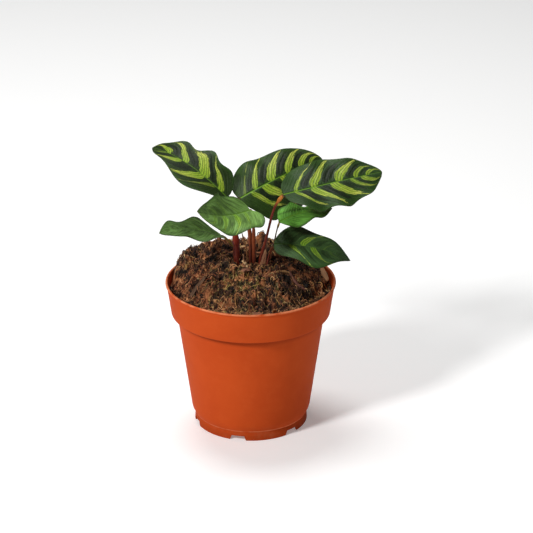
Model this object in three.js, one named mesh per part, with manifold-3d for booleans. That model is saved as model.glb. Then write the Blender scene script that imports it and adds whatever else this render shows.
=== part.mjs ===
// A young peacock plant in a plastic nursery pot.
// Millimetres, +Z up. The origin is the centre of the pot's underside, on the surface it stands on.
// -Y is the front and +X is the right.

import * as THREE from 'three';
import { mergeVertices } from 'three/addons/utils/BufferGeometryUtils.js';
import Module from 'manifold-3d';

const wasm = await Module();
wasm.setup();

// Driving dimensions

const gap = 0.3; // clearance kept between neighbouring pieces

const potSize = {
  height: 96,
  lipRadius: 54,
  lipHeight: 1.6,
  bandTopRadius: 53.3,
  bandBottomRadius: 50.4,
  stepHeight: 75,
  bodyTopRadius: 46.95,
  bodyBottomRadius: 37.8,
  bodyBottomHeight: 9.8,
  creaseRadius: 35.6,
  creaseHeight: 5.4,
  footRadius: 36.1,
  wall: 1.2,
  floorTop: 5,
  floorUnderside: 3.6,
  gateRadius: 7,
  segments: 56,
};

const notch = { count: 6, width: 10.7, height: 3.2, flank: 1.2, firstAngle: -13.3 };

const drainHole = { count: 6, radius: 3.5, circleRadius: 23, firstAngle: 16.7, segments: 16 };

const soilSize = {
  edgeHeight: 91.8,
  edgeRadius: 51.2,
  crownHeight: 17.5,
  crownPower: 2.4,
  crownShift: 9,
  rings: 9,
  segments: 40,
};

// Heaps on the soil: place is [x, y], height is how far each rises and reach how far it spreads.
const soilHeaps = [
  { place: [-44, 16], height: 12, reach: 7.5 },
  { place: [-38, 24], height: 6.5, reach: 7 },
  { place: [-27, 26], height: 5.5, reach: 7 },
  { place: [-18, 25], height: 4, reach: 4.5 },
  { place: [7.5, 26], height: 8.5, reach: 5 },
  { place: [16, 26], height: 2.5, reach: 7 },
];

const rhizomeSize = { centre: [2, -1, 94], halfLength: 17, halfWidth: 6.5, halfThickness: 4.5 };

const rootSize = { count: 7, reach: 26, depth: 52, radius: 1.5, tipRadius: 0.5, steps: 8 };

const bladeSize = { thickness: 0.8, alongSteps: 16, acrossSteps: 6, endHalfWidth: 0.7 };

const stalkSize = { sides: 8, steps: 12, pulvinusLength: 6, topClearance: 0.9 };

// Each blade runs from its base to its tip. arch lifts and bow shifts the middle of its midrib.
// roll turns the blade about its chord and twist turns the tip against the base, in degrees.
// left and right are the half widths. Each half is lifted by its fold, in degrees, and droop lets
// the edges down. outline gives the powers that round the base and sharpen the tip. ruffle is
// [height, waves, phase] and each row of lobes is [share of the width, waves, phase].
const leaves = {
  leaf_upper_left: {
    base: [-14.5, 4, 150.5], tip: [-62.5, 39.5, 170.5],
    arch: 10, bow: -3, roll: 15, twist: 13,
    left: 15.7, right: 16, leftFold: 11, rightFold: 14, droop: 0,
    outline: [0.45, 0.78], ruffle: [2, 1.33, 0],
    leftLobes: [0.13, 1.17, -0.14], rightLobes: [0.13, 3.3, -0.08],
  },
  leaf_centre_back: {
    base: [-7, 4, 150], tip: [45.5, 45.5, 160.5],
    arch: 2.6, bow: -0.7, roll: -44, twist: -37,
    left: 20.7, right: 21, leftFold: -2, rightFold: -3, droop: 5.7,
    outline: [0.46, 0.7], ruffle: [2, 2.7, 0.22],
    leftLobes: [0.08, 1.33, 0], rightLobes: [0.13, 2.6, -0.31],
  },
  leaf_right_front: {
    base: [20.5, -4, 156], tip: [83, 24.5, 160],
    arch: 0.9, bow: 0.3, roll: -26.5, twist: -17,
    left: 20.7, right: 20.9, leftFold: 6, rightFold: 5.7, droop: 2.2,
    outline: [0.46, 0.68], ruffle: [1.8, 2.9, -0.06],
    leftLobes: [0.07, 3.2, -0.39], rightLobes: [0.08, 3.3, -0.44],
  },
  leaf_centre_front: {
    base: [0, -12, 149], tip: [-32, -52.5, 164.8],
    arch: -2.7, bow: -1.8, roll: 35, twist: 48,
    left: 20, right: 14, leftFold: 11, rightFold: 14, droop: -0.5,
    outline: [0.38, 0.72], ruffle: [2, 2.1, 0.17],
    leftLobes: [0.08, 1.4, 0.16], rightLobes: [0.14, 0.85, 0],
  },
  leaf_left_lower: {
    base: [-18.2, -4, 128.3], tip: [-56.5, -22, 137.5],
    arch: -0.3, bow: 6.7, roll: 14, twist: 18,
    left: 12.3, right: 12, leftFold: 9.4, rightFold: 9.7, droop: 1.6,
    outline: [0.3, 0.72], ruffle: [1.7, 1.6, -0.17],
    leftLobes: [0.13, 2.45, -0.53], rightLobes: [0.13, 1.73, -0.14],
  },
  leaf_right_small: {
    base: [18.1, -9, 139.6], tip: [51.4, 13, 139.8],
    arch: 0, bow: -3.3, roll: -11, twist: 17,
    left: 11.4, right: 11.2, leftFold: 9.3, rightFold: 9, droop: 1.8,
    outline: [0.54, 0.74], ruffle: [2, 1.93, 0.27],
    leftLobes: [0.13, 2.94, -0.23], rightLobes: [0.05, 2.5, 0.15],
  },
  leaf_right_lower: {
    base: [14.5, -8, 124], tip: [62.8, -4.2, 111.2],
    arch: 6.7, bow: 2.1, roll: -23, twist: 12.5,
    left: 15.3, right: 15.4, leftFold: 6.5, rightFold: 5.2, droop: 1.3,
    outline: [0.48, 0.82], ruffle: [2, 1.38, -0.04],
    leftLobes: [0.13, 1.53, -0.17], rightLobes: [0.13, 1.42, 0.48],
  },
};

// Each stalk climbs through its points from just above the rhizome. foot and neck are its radii
// below and above, and sheathTop is the height to which its thick sheathing foot reaches. A
// petiole ends in a pulvinus, the swollen joint under its blade.
const petioles = {
  petiole_upper_left: {
    leaf: 'leaf_upper_left',
    points: [[-7, 0, 100], [-8.5, 1, 110], [-9.3, 2.5, 122], [-11, 4, 134], [-13, 4, 145]],
    foot: 2.2, neck: 0.95, pulvinus: 1.3, sheathTop: 129,
  },
  petiole_centre_back: {
    leaf: 'leaf_centre_back',
    points: [[0, -1.2, 100], [0, -1.2, 110], [-0.1, 0.2, 122], [-1.8, 5, 133], [-6, 8.4, 143]],
    foot: 1.35, neck: 0.9, pulvinus: 1.2, sheathTop: 136,
  },
  petiole_right_front: {
    leaf: 'leaf_right_front',
    points: [[5.4, -2, 100], [6.2, -2, 111], [8.4, -2, 120], [11, -3, 131], [13.2, -4, 141], [16, -5, 149.5]],
    foot: 1.1, neck: 0.8, pulvinus: 1.3, sheathTop: 125,
  },
  petiole_centre_front: {
    leaf: 'leaf_centre_front',
    points: [[2.1, -3.4, 100], [2.1, -3.5, 110], [2, -3.9, 122], [1.9, -5.9, 134], [1.4, -9.2, 144]],
    foot: 1.15, neck: 0.75, pulvinus: 1.1, sheathTop: 136,
  },
  petiole_left_lower: {
    leaf: 'leaf_left_lower',
    points: [[-7.4, 5.6, 100], [-8.6, 5.8, 110], [-10.6, 5, 116.5], [-14, 1.6, 122.6]],
    foot: 0.75, neck: 0.6, pulvinus: 0.85, sheathTop: 112,
  },
  petiole_right_small: {
    leaf: 'leaf_right_small',
    points: [[11.4, 2, 100], [12.6, 1.4, 111], [14.7, -0.8, 121.4], [16.3, -5, 131.5]],
    foot: 0.6, neck: 0.42, pulvinus: 0.7, sheathTop: 112,
  },
  petiole_right_lower: {
    leaf: 'leaf_right_lower',
    points: [[9.4, -4.6, 100], [10.4, -5, 110], [11.9, -5.4, 116.5]],
    foot: 0.8, neck: 0.6, pulvinus: 0.95, sheathTop: 112,
  },
};

const newShoot = {
  points: [[-3.2, 0.6, 100], [-2.2, 0.2, 110], [-2.9, 0, 118.7], [-4.5, 0, 124.2], [-6, 0, 131]],
  foot: 0.55, neck: 0.45, pulvinus: 0.45, sheathTop: 112,
};

// Dry sheaths stand round the foot of the stalks like narrow curled leaves.
const sheaths = {
  dry_sheath_front: { base: [6.4, -5.2, 105], tip: [9.4, -7.4, 120], left: 1.7, right: 1.7, roll: 75 },
  dry_sheath_right: { base: [9.6, 0, 105], tip: [11.2, 3.6, 127], left: 1.5, right: 1.5, roll: 70 },
  dry_sheath_left: { base: [-4.4, -3.2, 105], tip: [-4.9, -4.8, 116], left: 1.5, right: 1.4, roll: 80 },
};

const sheathShape = {
  arch: 0.5, bow: 0, twist: 10, leftFold: 20, rightFold: 20, droop: 0,
  outline: [0.3, 0.6], ruffle: [0.2, 1, 0], leftLobes: [0, 1, 0], rightLobes: [0, 1, 0],
};

// Loose pieces of bark lie on the soil: size is [length, width, thickness], place is [x, y] and
// compass is the direction of the grain in degrees from +X.
const chips = {
  wood_chip_right: { size: [22, 3.2, 1.2], place: [45.2, 13.5], compass: -72 },
  wood_chip_back: { size: [8, 2.8, 1], place: [-6, 22], compass: 40 },
  wood_chip_front: { size: [9, 2.2, 1], place: [14.5, -38], compass: -84 },
  wood_chip_left: { size: [11, 3.4, 1.1], place: [-33, -14], compass: 24 },
};

const finishes = {
  pot: { color: '#c25a31', roughness: 0.5, metalness: 0 },
  soil: { color: '#4a2b1b', roughness: 1, metalness: 0 },
  rhizome: { color: '#8b5a3a', roughness: 0.8, metalness: 0 },
  leaf: { color: '#2f5a2c', roughness: 0.42, metalness: 0 },
  petiole: { color: '#5a2620', roughness: 0.5, metalness: 0 },
  shoot: { color: '#5b6a34', roughness: 0.5, metalness: 0 },
  sheath: { color: '#9c7648', roughness: 0.8, metalness: 0 },
  bark: { color: '#b58a5c', roughness: 0.85, metalness: 0 },
};

// Helpers

const up = new THREE.Vector3(0, 0, 1);
const vector = (point) => new THREE.Vector3(...point);
const radians = THREE.MathUtils.degToRad;
const lerp = THREE.MathUtils.lerp;

function piece(name, geometry, finish, position = [0, 0, 0]) {
  const mesh = new THREE.Mesh(geometry, new THREE.MeshStandardMaterial(finish));
  mesh.name = name;
  mesh.position.set(...position);
  return mesh;
}

function solidOf(geometry) {
  const bare = new THREE.BufferGeometry();
  bare.setAttribute('position', geometry.getAttribute('position'));
  if (geometry.getIndex()) bare.setIndex(geometry.getIndex());
  const merged = mergeVertices(bare, 1e-4);
  return new wasm.Manifold(new wasm.Mesh({
    numProp: 3,
    vertProperties: Float32Array.from(merged.getAttribute('position').array),
    triVerts: Uint32Array.from(merged.getIndex().array),
  }));
}

function geometryOf(solid) {
  const mesh = solid.getMesh();
  const geometry = new THREE.BufferGeometry();
  geometry.setAttribute('position', new THREE.BufferAttribute(mesh.vertProperties, 3));
  geometry.setIndex(new THREE.BufferAttribute(mesh.triVerts, 1));
  geometry.computeVertexNormals();
  return geometry;
}

// Lathe an outline of [radius, height] points round the Z axis.
function turnedSolid(outline, segments) {
  const points = outline.map(([radius, height]) => new THREE.Vector2(radius, height));
  const geometry = new THREE.LatheGeometry(points, segments);
  geometry.rotateX(Math.PI / 2);
  return solidOf(geometry);
}

// Close a stack of equal rings of points into one body. Each end is a fan from its middle.
function closedRings(rings) {
  const sides = rings[0].length;
  const positions = rings.flat().flatMap((point) => point.toArray());
  const index = [];
  for (let row = 0; row + 1 < rings.length; row += 1) {
    for (let side = 0; side < sides; side += 1) {
      const here = row * sides + side;
      const beside = row * sides + (side + 1) % sides;
      index.push(here, beside, beside + sides);
      index.push(here, beside + sides, here + sides);
    }
  }
  for (const [row, outward] of [[0, false], [rings.length - 1, true]]) {
    const middle = new THREE.Vector3();
    rings[row].forEach((point) => middle.addScaledVector(point, 1 / sides));
    const centre = positions.length / 3;
    positions.push(...middle.toArray());
    for (let side = 0; side < sides; side += 1) {
      const here = row * sides + side;
      const beside = row * sides + (side + 1) % sides;
      index.push(...(outward ? [centre, here, beside] : [centre, beside, here]));
    }
  }
  const geometry = new THREE.BufferGeometry();
  geometry.setAttribute('position', new THREE.Float32BufferAttribute(positions, 3));
  geometry.setIndex(index);
  geometry.computeVertexNormals();
  return geometry;
}

// Pot

function potOutline() {
  const { height, lipRadius, lipHeight, wall, stepHeight, floorTop, floorUnderside } = potSize;
  const lipBottom = height - lipHeight;
  const innerLip = lipRadius - 1.5;
  return [
    [0, 0],
    [potSize.gateRadius, 0],
    [potSize.gateRadius + 0.8, floorUnderside],
    [potSize.footRadius - 1.6, floorUnderside],
    [potSize.footRadius - 1.4, 0],
    [potSize.footRadius, 0],
    [potSize.creaseRadius, potSize.creaseHeight],
    [potSize.creaseRadius + 0.8, potSize.creaseHeight + 2],
    [potSize.bodyBottomRadius, potSize.bodyBottomHeight],
    [potSize.bodyTopRadius, stepHeight],
    [potSize.bandBottomRadius - 0.8, stepHeight],
    [potSize.bandBottomRadius, stepHeight + 1],
    [potSize.bandTopRadius, lipBottom],
    [lipRadius, lipBottom + 0.2],
    [lipRadius, height - 0.5],
    [lipRadius - 0.5, height],
    [innerLip + 0.3, height],
    [innerLip - 0.2, height - 0.6],
    [potSize.bandBottomRadius - wall + 0.1, stepHeight + wall],
    [potSize.bodyTopRadius - wall, stepHeight + wall],
    [potSize.bodyBottomRadius - wall, potSize.bodyBottomHeight],
    [potSize.creaseRadius - 1, floorTop],
    [0, floorTop],
  ];
}

// A prism whose outline faces outward along a radius of the pot, starting at startRadius.
function radialPrism(outline, startRadius, length, angle) {
  const shape = new THREE.Shape(outline.map(([across, height]) => new THREE.Vector2(across, height)));
  const geometry = new THREE.ExtrudeGeometry(shape, { depth: length, bevelEnabled: false });
  const outward = new THREE.Vector3(Math.sin(angle), -Math.cos(angle), 0);
  const across = new THREE.Vector3(Math.cos(angle), Math.sin(angle), 0);
  geometry.applyMatrix4(new THREE.Matrix4().makeBasis(across, up, outward));
  geometry.translate(outward.x * startRadius, outward.y * startRadius, 0);
  return solidOf(geometry);
}

function potGeometry() {
  let pot = turnedSolid(potOutline(), potSize.segments);
  const half = notch.width / 2;
  const notchOutline = [
    [-half - notch.flank / 2, -1],
    [half + notch.flank / 2, -1],
    [half - notch.flank / 2, notch.height],
    [-half + notch.flank / 2, notch.height],
  ];
  for (let count = 0; count < notch.count; count += 1) {
    const angle = radians(notch.firstAngle + count * 360 / notch.count);
    pot = pot.subtract(radialPrism(notchOutline, potSize.footRadius - 4, 8, angle));
  }
  for (let count = 0; count < drainHole.count; count += 1) {
    const angle = radians(drainHole.firstAngle + count * 360 / drainHole.count);
    const drill = new THREE.CylinderGeometry(drainHole.radius, drainHole.radius, 6, drainHole.segments);
    drill.rotateX(Math.PI / 2);
    drill.translate(
      drainHole.circleRadius * Math.sin(angle),
      -drainHole.circleRadius * Math.cos(angle),
      potSize.floorTop,
    );
    pot = pot.subtract(solidOf(drill));
  }
  return geometryOf(pot);
}

// Leaf blades and sheaths

function bladeAxes(leaf) {
  const chord = vector(leaf.tip).sub(vector(leaf.base));
  const along = chord.clone().normalize();
  const side = new THREE.Vector3().crossVectors(along, up).normalize();
  const rise = new THREE.Vector3().crossVectors(side, along);
  return { chord, side, rise };
}

// The directions across and out of the blade, after a turn of so many degrees about its chord.
function turnedAxes({ side, rise }, degrees) {
  const cos = Math.cos(radians(degrees));
  const sin = Math.sin(radians(degrees));
  const across = side.clone().multiplyScalar(cos).addScaledVector(rise, sin);
  const outward = rise.clone().multiplyScalar(cos).addScaledVector(side, -sin);
  return { across, outward };
}

function bladeWidth(leaf, u, isLeft) {
  const [round, sharp] = leaf.outline;
  const widest = round / (round + sharp);
  const fullness = (u ** round * (1 - u) ** sharp) / (widest ** round * (1 - widest) ** sharp);
  const [share, waves, phase] = isLeft ? leaf.leftLobes : leaf.rightLobes;
  const lobes = 1 + share * Math.sin(2 * Math.PI * (waves * u + phase));
  return { fullness, width: (isLeft ? leaf.left : leaf.right) * fullness * lobes };
}

// A point of the blade's middle surface, from its base: u runs along the midrib from 0 to 1,
// and v runs across from -1 at the left edge to 1 at the right edge.
function bladePoint(leaf, axes, u, v, lift) {
  const swell = 4 * u * (1 - u);
  const chordAxes = turnedAxes(axes, leaf.roll);
  const { across, outward } = turnedAxes(axes, leaf.roll + leaf.twist * (u - 0.5));
  const isLeft = v < 0;
  const { fullness, width } = bladeWidth(leaf, u, isLeft);
  const reach = v * Math.max(width, bladeSize.endHalfWidth);
  const fold = radians(isLeft ? leaf.leftFold : leaf.rightFold);
  const [height, waves, phase] = leaf.ruffle;
  const wave = Math.sin(2 * Math.PI * (waves * u + phase) + (isLeft ? 1.7 : 0));
  const ruffle = height * fullness * Math.abs(v) ** 1.5 * wave;
  const rise = Math.abs(reach) * Math.sin(fold) - leaf.droop * v * v * fullness + ruffle + lift;
  return axes.chord.clone().multiplyScalar(u)
    .addScaledVector(chordAxes.outward, swell * leaf.arch)
    .addScaledVector(chordAxes.across, swell * leaf.bow)
    .addScaledVector(across, reach * Math.cos(fold))
    .addScaledVector(outward, rise);
}

// Each ring runs across the top of the blade from left to right and back underneath.
function bladeGeometry(leaf, thickness = bladeSize.thickness) {
  const axes = bladeAxes(leaf);
  const rings = [];
  for (let row = 0; row <= bladeSize.alongSteps; row += 1) {
    const u = row / bladeSize.alongSteps;
    const top = [];
    const underside = [];
    for (let column = 0; column <= bladeSize.acrossSteps; column += 1) {
      const v = 2 * column / bladeSize.acrossSteps - 1;
      top.push(bladePoint(leaf, axes, u, v, thickness / 2));
      underside.unshift(bladePoint(leaf, axes, u, v, -thickness / 2));
    }
    rings.push([...top, ...underside]);
  }
  return closedRings(rings);
}

// Stalks

function stalkPoints(stalk) {
  const points = stalk.points.map(vector);
  if (!stalk.leaf) return points;
  const base = vector(leaves[stalk.leaf].base);
  const last = points[points.length - 1];
  const shortfall = base.clone().sub(last).setLength(stalkSize.topClearance);
  return [...points, base.sub(shortfall)];
}

// The radius eases from foot to neck below sheathTop and swells at the pulvinus.
function stalkRadius(stalk, height, fromTop) {
  const climb = THREE.MathUtils.clamp((stalk.sheathTop - height) / 8, 0, 1);
  const plain = lerp(stalk.neck, stalk.foot, climb);
  if (fromTop > stalkSize.pulvinusLength) return plain;
  const swell = Math.sin(Math.PI * fromTop / stalkSize.pulvinusLength);
  return plain + (stalk.pulvinus - stalk.neck) * swell;
}

// spare and spareDepth widen and deepen a stalk into the hole that it needs in the soil.
function stalkGeometry(stalk, spare = 0, spareDepth = 0) {
  const curve = new THREE.CatmullRomCurve3(stalkPoints(stalk), false, 'centripetal');
  const length = curve.getLength();
  const frames = curve.computeFrenetFrames(stalkSize.steps, false);
  const rings = [];
  for (let step = 0; step <= stalkSize.steps; step += 1) {
    const share = step / stalkSize.steps;
    const centre = curve.getPointAt(share);
    const radius = stalkRadius(stalk, centre.z, (1 - share) * length) + spare;
    rings.push(ringOf(centre, frames.normals[step], frames.binormals[step], radius, stalkSize.sides));
  }
  if (spareDepth > 0) {
    rings.unshift(rings[0].map((point) => point.clone().addScaledVector(up, -spareDepth)));
  }
  return closedRings(rings);
}

function ringOf(centre, normal, binormal, radius, sides) {
  const ring = [];
  for (let side = 0; side < sides; side += 1) {
    const angle = 2 * Math.PI * side / sides;
    ring.push(centre.clone()
      .addScaledVector(normal, radius * Math.cos(angle))
      .addScaledVector(binormal, radius * Math.sin(angle)));
  }
  return ring;
}

// Rhizome, a knobbly body under the stalks with tapered roots that curve down and outward

function rootGeometry(angle, spare) {
  const [x, y, z] = rhizomeSize.centre;
  const out = new THREE.Vector3(Math.cos(angle), Math.sin(angle), 0);
  const start = new THREE.Vector3(x + out.x * rhizomeSize.halfLength * 0.5, y + out.y * 2, z);
  const curve = new THREE.CatmullRomCurve3([
    start,
    start.clone().addScaledVector(out, rootSize.reach * 0.55).add(vector([0, 0, -rootSize.depth * 0.25])),
    start.clone().addScaledVector(out, rootSize.reach * 0.8).add(vector([0, 0, -rootSize.depth * 0.6])),
    start.clone().addScaledVector(out, rootSize.reach * 0.7).add(vector([0, 0, -rootSize.depth])),
  ]);
  const frames = curve.computeFrenetFrames(rootSize.steps, false);
  const rings = [];
  for (let step = 0; step <= rootSize.steps; step += 1) {
    const share = step / rootSize.steps;
    const radius = lerp(rootSize.radius, rootSize.tipRadius, share) + spare;
    rings.push(ringOf(curve.getPointAt(share), frames.normals[step], frames.binormals[step], radius, 6));
  }
  return closedRings(rings);
}

function rhizomeSolid(spare = 0) {
  const { centre, halfLength, halfWidth, halfThickness } = rhizomeSize;
  const body = new THREE.SphereGeometry(1, 18, 10);
  body.scale(halfLength + spare, halfWidth + spare, halfThickness + spare);
  body.translate(...centre);
  let rhizome = solidOf(body);
  for (let count = 0; count < rootSize.count; count += 1) {
    rhizome = rhizome.add(solidOf(rootGeometry(2 * Math.PI * (count + 0.3) / rootSize.count, spare)));
  }
  return rhizome;
}

// Soil fills the pot to just under the lip. share runs from 0 at the crown to 1 at the wall.

function soilHeight(x, y, share) {
  const { edgeHeight, crownHeight, crownPower } = soilSize;
  const heaps = soilHeaps.reduce((sum, { place, height, reach }) => {
    const distance = Math.hypot(x - place[0], y - place[1]) / reach;
    return sum + height * Math.exp(-(distance ** 2));
  }, 0);
  return edgeHeight + crownHeight * (1 - share ** crownPower) + heaps * (1 - share ** 8);
}

function soilSurface(share, angle) {
  const x = soilSize.edgeRadius * share * Math.cos(angle);
  const y = soilSize.crownShift * (1 - share) + soilSize.edgeRadius * share * Math.sin(angle);
  return new THREE.Vector3(x, y, soilHeight(x, y, share));
}

function soilGeometry() {
  const { wall, stepHeight } = potSize;
  const walls = [
    [potSize.creaseRadius - 1 - gap, potSize.floorTop + gap],
    [potSize.bodyBottomRadius - wall - gap, potSize.bodyBottomHeight + 0.2],
    [potSize.bodyTopRadius - wall - gap, stepHeight + wall + gap],
    [potSize.bandBottomRadius - wall - gap, stepHeight + wall + gap],
  ];
  const turn = 2 * Math.PI / soilSize.segments;
  const angles = Array.from({ length: soilSize.segments }, (_, step) => step * turn);
  const rings = walls.map(([radius, height]) => angles.map((angle) => new THREE.Vector3(
    radius * Math.cos(angle),
    radius * Math.sin(angle),
    height,
  )));
  for (let ring = soilSize.rings; ring >= 1; ring -= 1) {
    rings.push(angles.map((angle) => soilSurface(ring / soilSize.rings, angle)));
  }
  let soil = solidOf(closedRings(rings));
  for (const stalk of [...Object.values(petioles), newShoot]) {
    soil = soil.subtract(solidOf(stalkGeometry(stalk, gap, rhizomeSize.halfThickness)));
  }
  for (const sheath of Object.values(sheaths)) {
    const grown = { ...sheathShape, ...sheath, left: sheath.left + gap, right: sheath.right + gap };
    const base = vector(sheath.base).addScaledVector(up, -gap);
    const cutter = bladeGeometry({ ...grown, base: base.toArray() }, bladeSize.thickness + 2 * gap);
    soil = soil.subtract(solidOf(cutter.translate(...base.toArray())));
  }
  return geometryOf(soil.subtract(rhizomeSolid(gap)));
}

// The soil's surface over a place: share is the root of the equation of the shifted rings.
function soilPoint(x, y) {
  const { edgeRadius, crownShift } = soilSize;
  const fromCrown = y - crownShift;
  const square = crownShift ** 2 - edgeRadius ** 2;
  const half = crownShift * fromCrown;
  const share = (-half - Math.sqrt(half ** 2 - square * (x ** 2 + fromCrown ** 2))) / square;
  return new THREE.Vector3(x, y, soilHeight(x, y, share));
}

// Bark chips, split along the grain with slanted ends

function chipGeometry([length, width, thickness]) {
  const slant = width * 0.6;
  const shape = new THREE.Shape([
    new THREE.Vector2(-length / 2, -width * 0.3),
    new THREE.Vector2(-length / 2 + slant, -width / 2),
    new THREE.Vector2(length / 2 - slant * 0.4, -width * 0.42),
    new THREE.Vector2(length / 2, width * 0.25),
    new THREE.Vector2(length / 2 - slant, width / 2),
    new THREE.Vector2(-length / 2 + slant * 0.5, width * 0.45),
  ]);
  const geometry = new THREE.ExtrudeGeometry(shape, { depth: thickness, bevelEnabled: false });
  return geometry.translate(0, 0, -thickness / 2);
}

// Assembly

const container = new THREE.Group();
container.add(piece('pot', potGeometry(), finishes.pot));
container.add(piece('soil', soilGeometry(), finishes.soil));

const plant = new THREE.Group();
plant.add(piece('rhizome', geometryOf(rhizomeSolid()), finishes.rhizome));
for (const [name, leaf] of Object.entries(leaves)) {
  plant.add(piece(name, bladeGeometry(leaf), finishes.leaf, leaf.base));
}
for (const [name, petiole] of Object.entries(petioles)) {
  plant.add(piece(name, stalkGeometry(petiole), finishes.petiole));
}
plant.add(piece('new_shoot', stalkGeometry(newShoot), finishes.shoot));
for (const [name, sheath] of Object.entries(sheaths)) {
  plant.add(piece(name, bladeGeometry({ ...sheathShape, ...sheath }), finishes.sheath, sheath.base));
}

const litter = new THREE.Group();
for (const [name, { size, place: [x, y], compass }] of Object.entries(chips)) {
  const here = soilPoint(x, y);
  const grain = vector([Math.cos(radians(compass)), Math.sin(radians(compass)), 0]);
  const ahead = soilPoint(x + grain.x, y + grain.y).sub(here).normalize();
  const aside = soilPoint(x - grain.y, y + grain.x).sub(here);
  const outward = new THREE.Vector3().crossVectors(ahead, aside).normalize();
  const across = new THREE.Vector3().crossVectors(outward, ahead);
  const chip = piece(name, chipGeometry(size), finishes.bark);
  chip.setRotationFromMatrix(new THREE.Matrix4().makeBasis(ahead, across, outward));
  chip.position.copy(here).addScaledVector(outward, size[2] / 2 + 2 * gap);
  litter.add(chip);
}

const pottedPlant = new THREE.Group();
pottedPlant.add(container, plant, litter);

export default pottedPlant;
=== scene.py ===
# A young peacock plant in a plastic nursery pot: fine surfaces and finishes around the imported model.
# Metres, +Z up, the pot's underside at the origin, -Y the front.
import math
import bpy
import numpy as np
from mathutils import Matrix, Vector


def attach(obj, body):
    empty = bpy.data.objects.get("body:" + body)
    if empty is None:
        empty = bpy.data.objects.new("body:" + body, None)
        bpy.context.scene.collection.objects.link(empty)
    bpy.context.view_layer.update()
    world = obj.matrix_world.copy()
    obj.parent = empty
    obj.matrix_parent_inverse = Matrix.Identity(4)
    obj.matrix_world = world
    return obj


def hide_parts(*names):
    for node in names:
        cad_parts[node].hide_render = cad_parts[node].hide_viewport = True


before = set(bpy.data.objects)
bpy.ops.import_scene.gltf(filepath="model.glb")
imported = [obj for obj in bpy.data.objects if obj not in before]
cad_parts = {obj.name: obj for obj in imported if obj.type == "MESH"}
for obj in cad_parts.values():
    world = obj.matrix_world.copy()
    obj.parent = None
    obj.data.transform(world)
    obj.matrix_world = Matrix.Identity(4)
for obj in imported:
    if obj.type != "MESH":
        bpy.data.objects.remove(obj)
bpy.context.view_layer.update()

mm = 0.001
tau = 2 * math.pi
print("frame loaded:", len(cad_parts), "nodes")


# Meshes

# A mesh from vertices and groups of faces, each group an array with one row of corners per face.
def putMesh(name, vertices, faceGroups, finish, uv=None, tone=None):
    corners = np.concatenate([group.ravel() for group in faceGroups]).astype(np.int32)
    totals = np.concatenate([np.full(len(group), group.shape[1]) for group in faceGroups]).astype(np.int32)
    starts = np.concatenate([[0], np.cumsum(totals)[:-1]]).astype(np.int32)
    mesh = bpy.data.meshes.new(name)
    mesh.vertices.add(len(vertices))
    mesh.vertices.foreach_set("co", np.asarray(vertices, dtype=np.float32).ravel())
    mesh.loops.add(len(corners))
    mesh.loops.foreach_set("vertex_index", corners)
    mesh.polygons.add(len(totals))
    mesh.polygons.foreach_set("loop_start", starts)
    mesh.update(calc_edges=True)
    mesh.polygons.foreach_set("use_smooth", np.ones(len(totals), dtype=bool))
    if uv is not None:
        layer = mesh.uv_layers.new(name="UVMap")
        layer.data.foreach_set("uv", np.asarray(uv, dtype=np.float32)[corners].ravel())
    if tone is not None:
        layer = mesh.attributes.new("tone", "FLOAT", "POINT")
        layer.data.foreach_set("value", np.asarray(tone, dtype=np.float32))
    mesh.validate()
    mesh.materials.append(finish)
    piece = bpy.data.objects.new(name, mesh)
    bpy.context.scene.collection.objects.link(piece)
    return piece


# Faces between equal rings of vertices: row r, side s joins row r + 1, side s + 1, wrapping round the ring.
def ringFaces(rows, sides):
    row, side = np.meshgrid(np.arange(rows - 1), np.arange(sides), indexing="ij")
    ahead = row + 1
    beside = (side + 1) % sides
    return np.stack([row * sides + side, row * sides + beside, ahead * sides + beside, ahead * sides + side],
                    axis=-1).reshape(-1, 4)


# One closed body from rings (rows, sides, 3), with a fan over each end.
def ringPiece(name, rings, finish, uv=None, tone=None):
    rows, sides = rings.shape[:2]
    vertices = np.concatenate([rings.reshape(-1, 3), rings[:1].mean(axis=1), rings[-1:].mean(axis=1)])
    side = np.arange(sides)
    beside = (side + 1) % sides
    first = np.stack([np.full(sides, rows * sides), beside, side], axis=-1)
    top = (rows - 1) * sides
    last = np.stack([np.full(sides, rows * sides + 1), top + side, top + beside], axis=-1)
    if uv is not None:
        uv = np.concatenate([uv.reshape(-1, 2), uv[:1].mean(axis=1), uv[-1:].mean(axis=1)])
    return putMesh(name, vertices, [ringFaces(rows, sides), np.concatenate([first, last])], finish, uv, tone)


def placed(piece, slot, *nodes):
    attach(piece, "root")
    if nodes:
        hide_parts(*nodes)


def unit(vectors):
    return vectors / np.linalg.norm(vectors, axis=-1, keepdims=True)


def smooth(low, high, values):
    share = np.clip((values - low) / (high - low), 0, 1)
    return share * share * (3 - 2 * share)


# A smooth curve through points: each span is a cubic whose slopes are the chords of its neighbours.
def curveThrough(points, count):
    points = np.asarray(points, dtype=float)
    slopes = np.gradient(points, axis=0)
    place = np.linspace(0, len(points) - 1, count)
    span = np.minimum(place.astype(int), len(points) - 2)
    t = (place - span)[:, None]
    a, b, m, n = points[span], points[span + 1], slopes[span], slopes[span + 1]
    path = (2 * t**3 - 3 * t**2 + 1) * a + (t**3 - 2 * t**2 + t) * m + (3 * t**2 - 2 * t**3) * b \
        + (t**3 - t**2) * n
    run = np.concatenate([[0], np.cumsum(np.linalg.norm(np.diff(path, axis=0), axis=1))])
    even = np.linspace(0, run[-1], count)
    return np.stack([np.interp(even, run, path[:, axis]) for axis in range(3)], axis=-1), run[-1]


# Two directions across a path: the first leans to one reference, the second completes the corner.
def pathAxes(path, reference=(0.0, 1.0, 0.05)):
    along = unit(np.gradient(path, axis=0))
    across = unit(np.cross(along, np.asarray(reference)))
    return across, np.cross(along, across)


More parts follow.
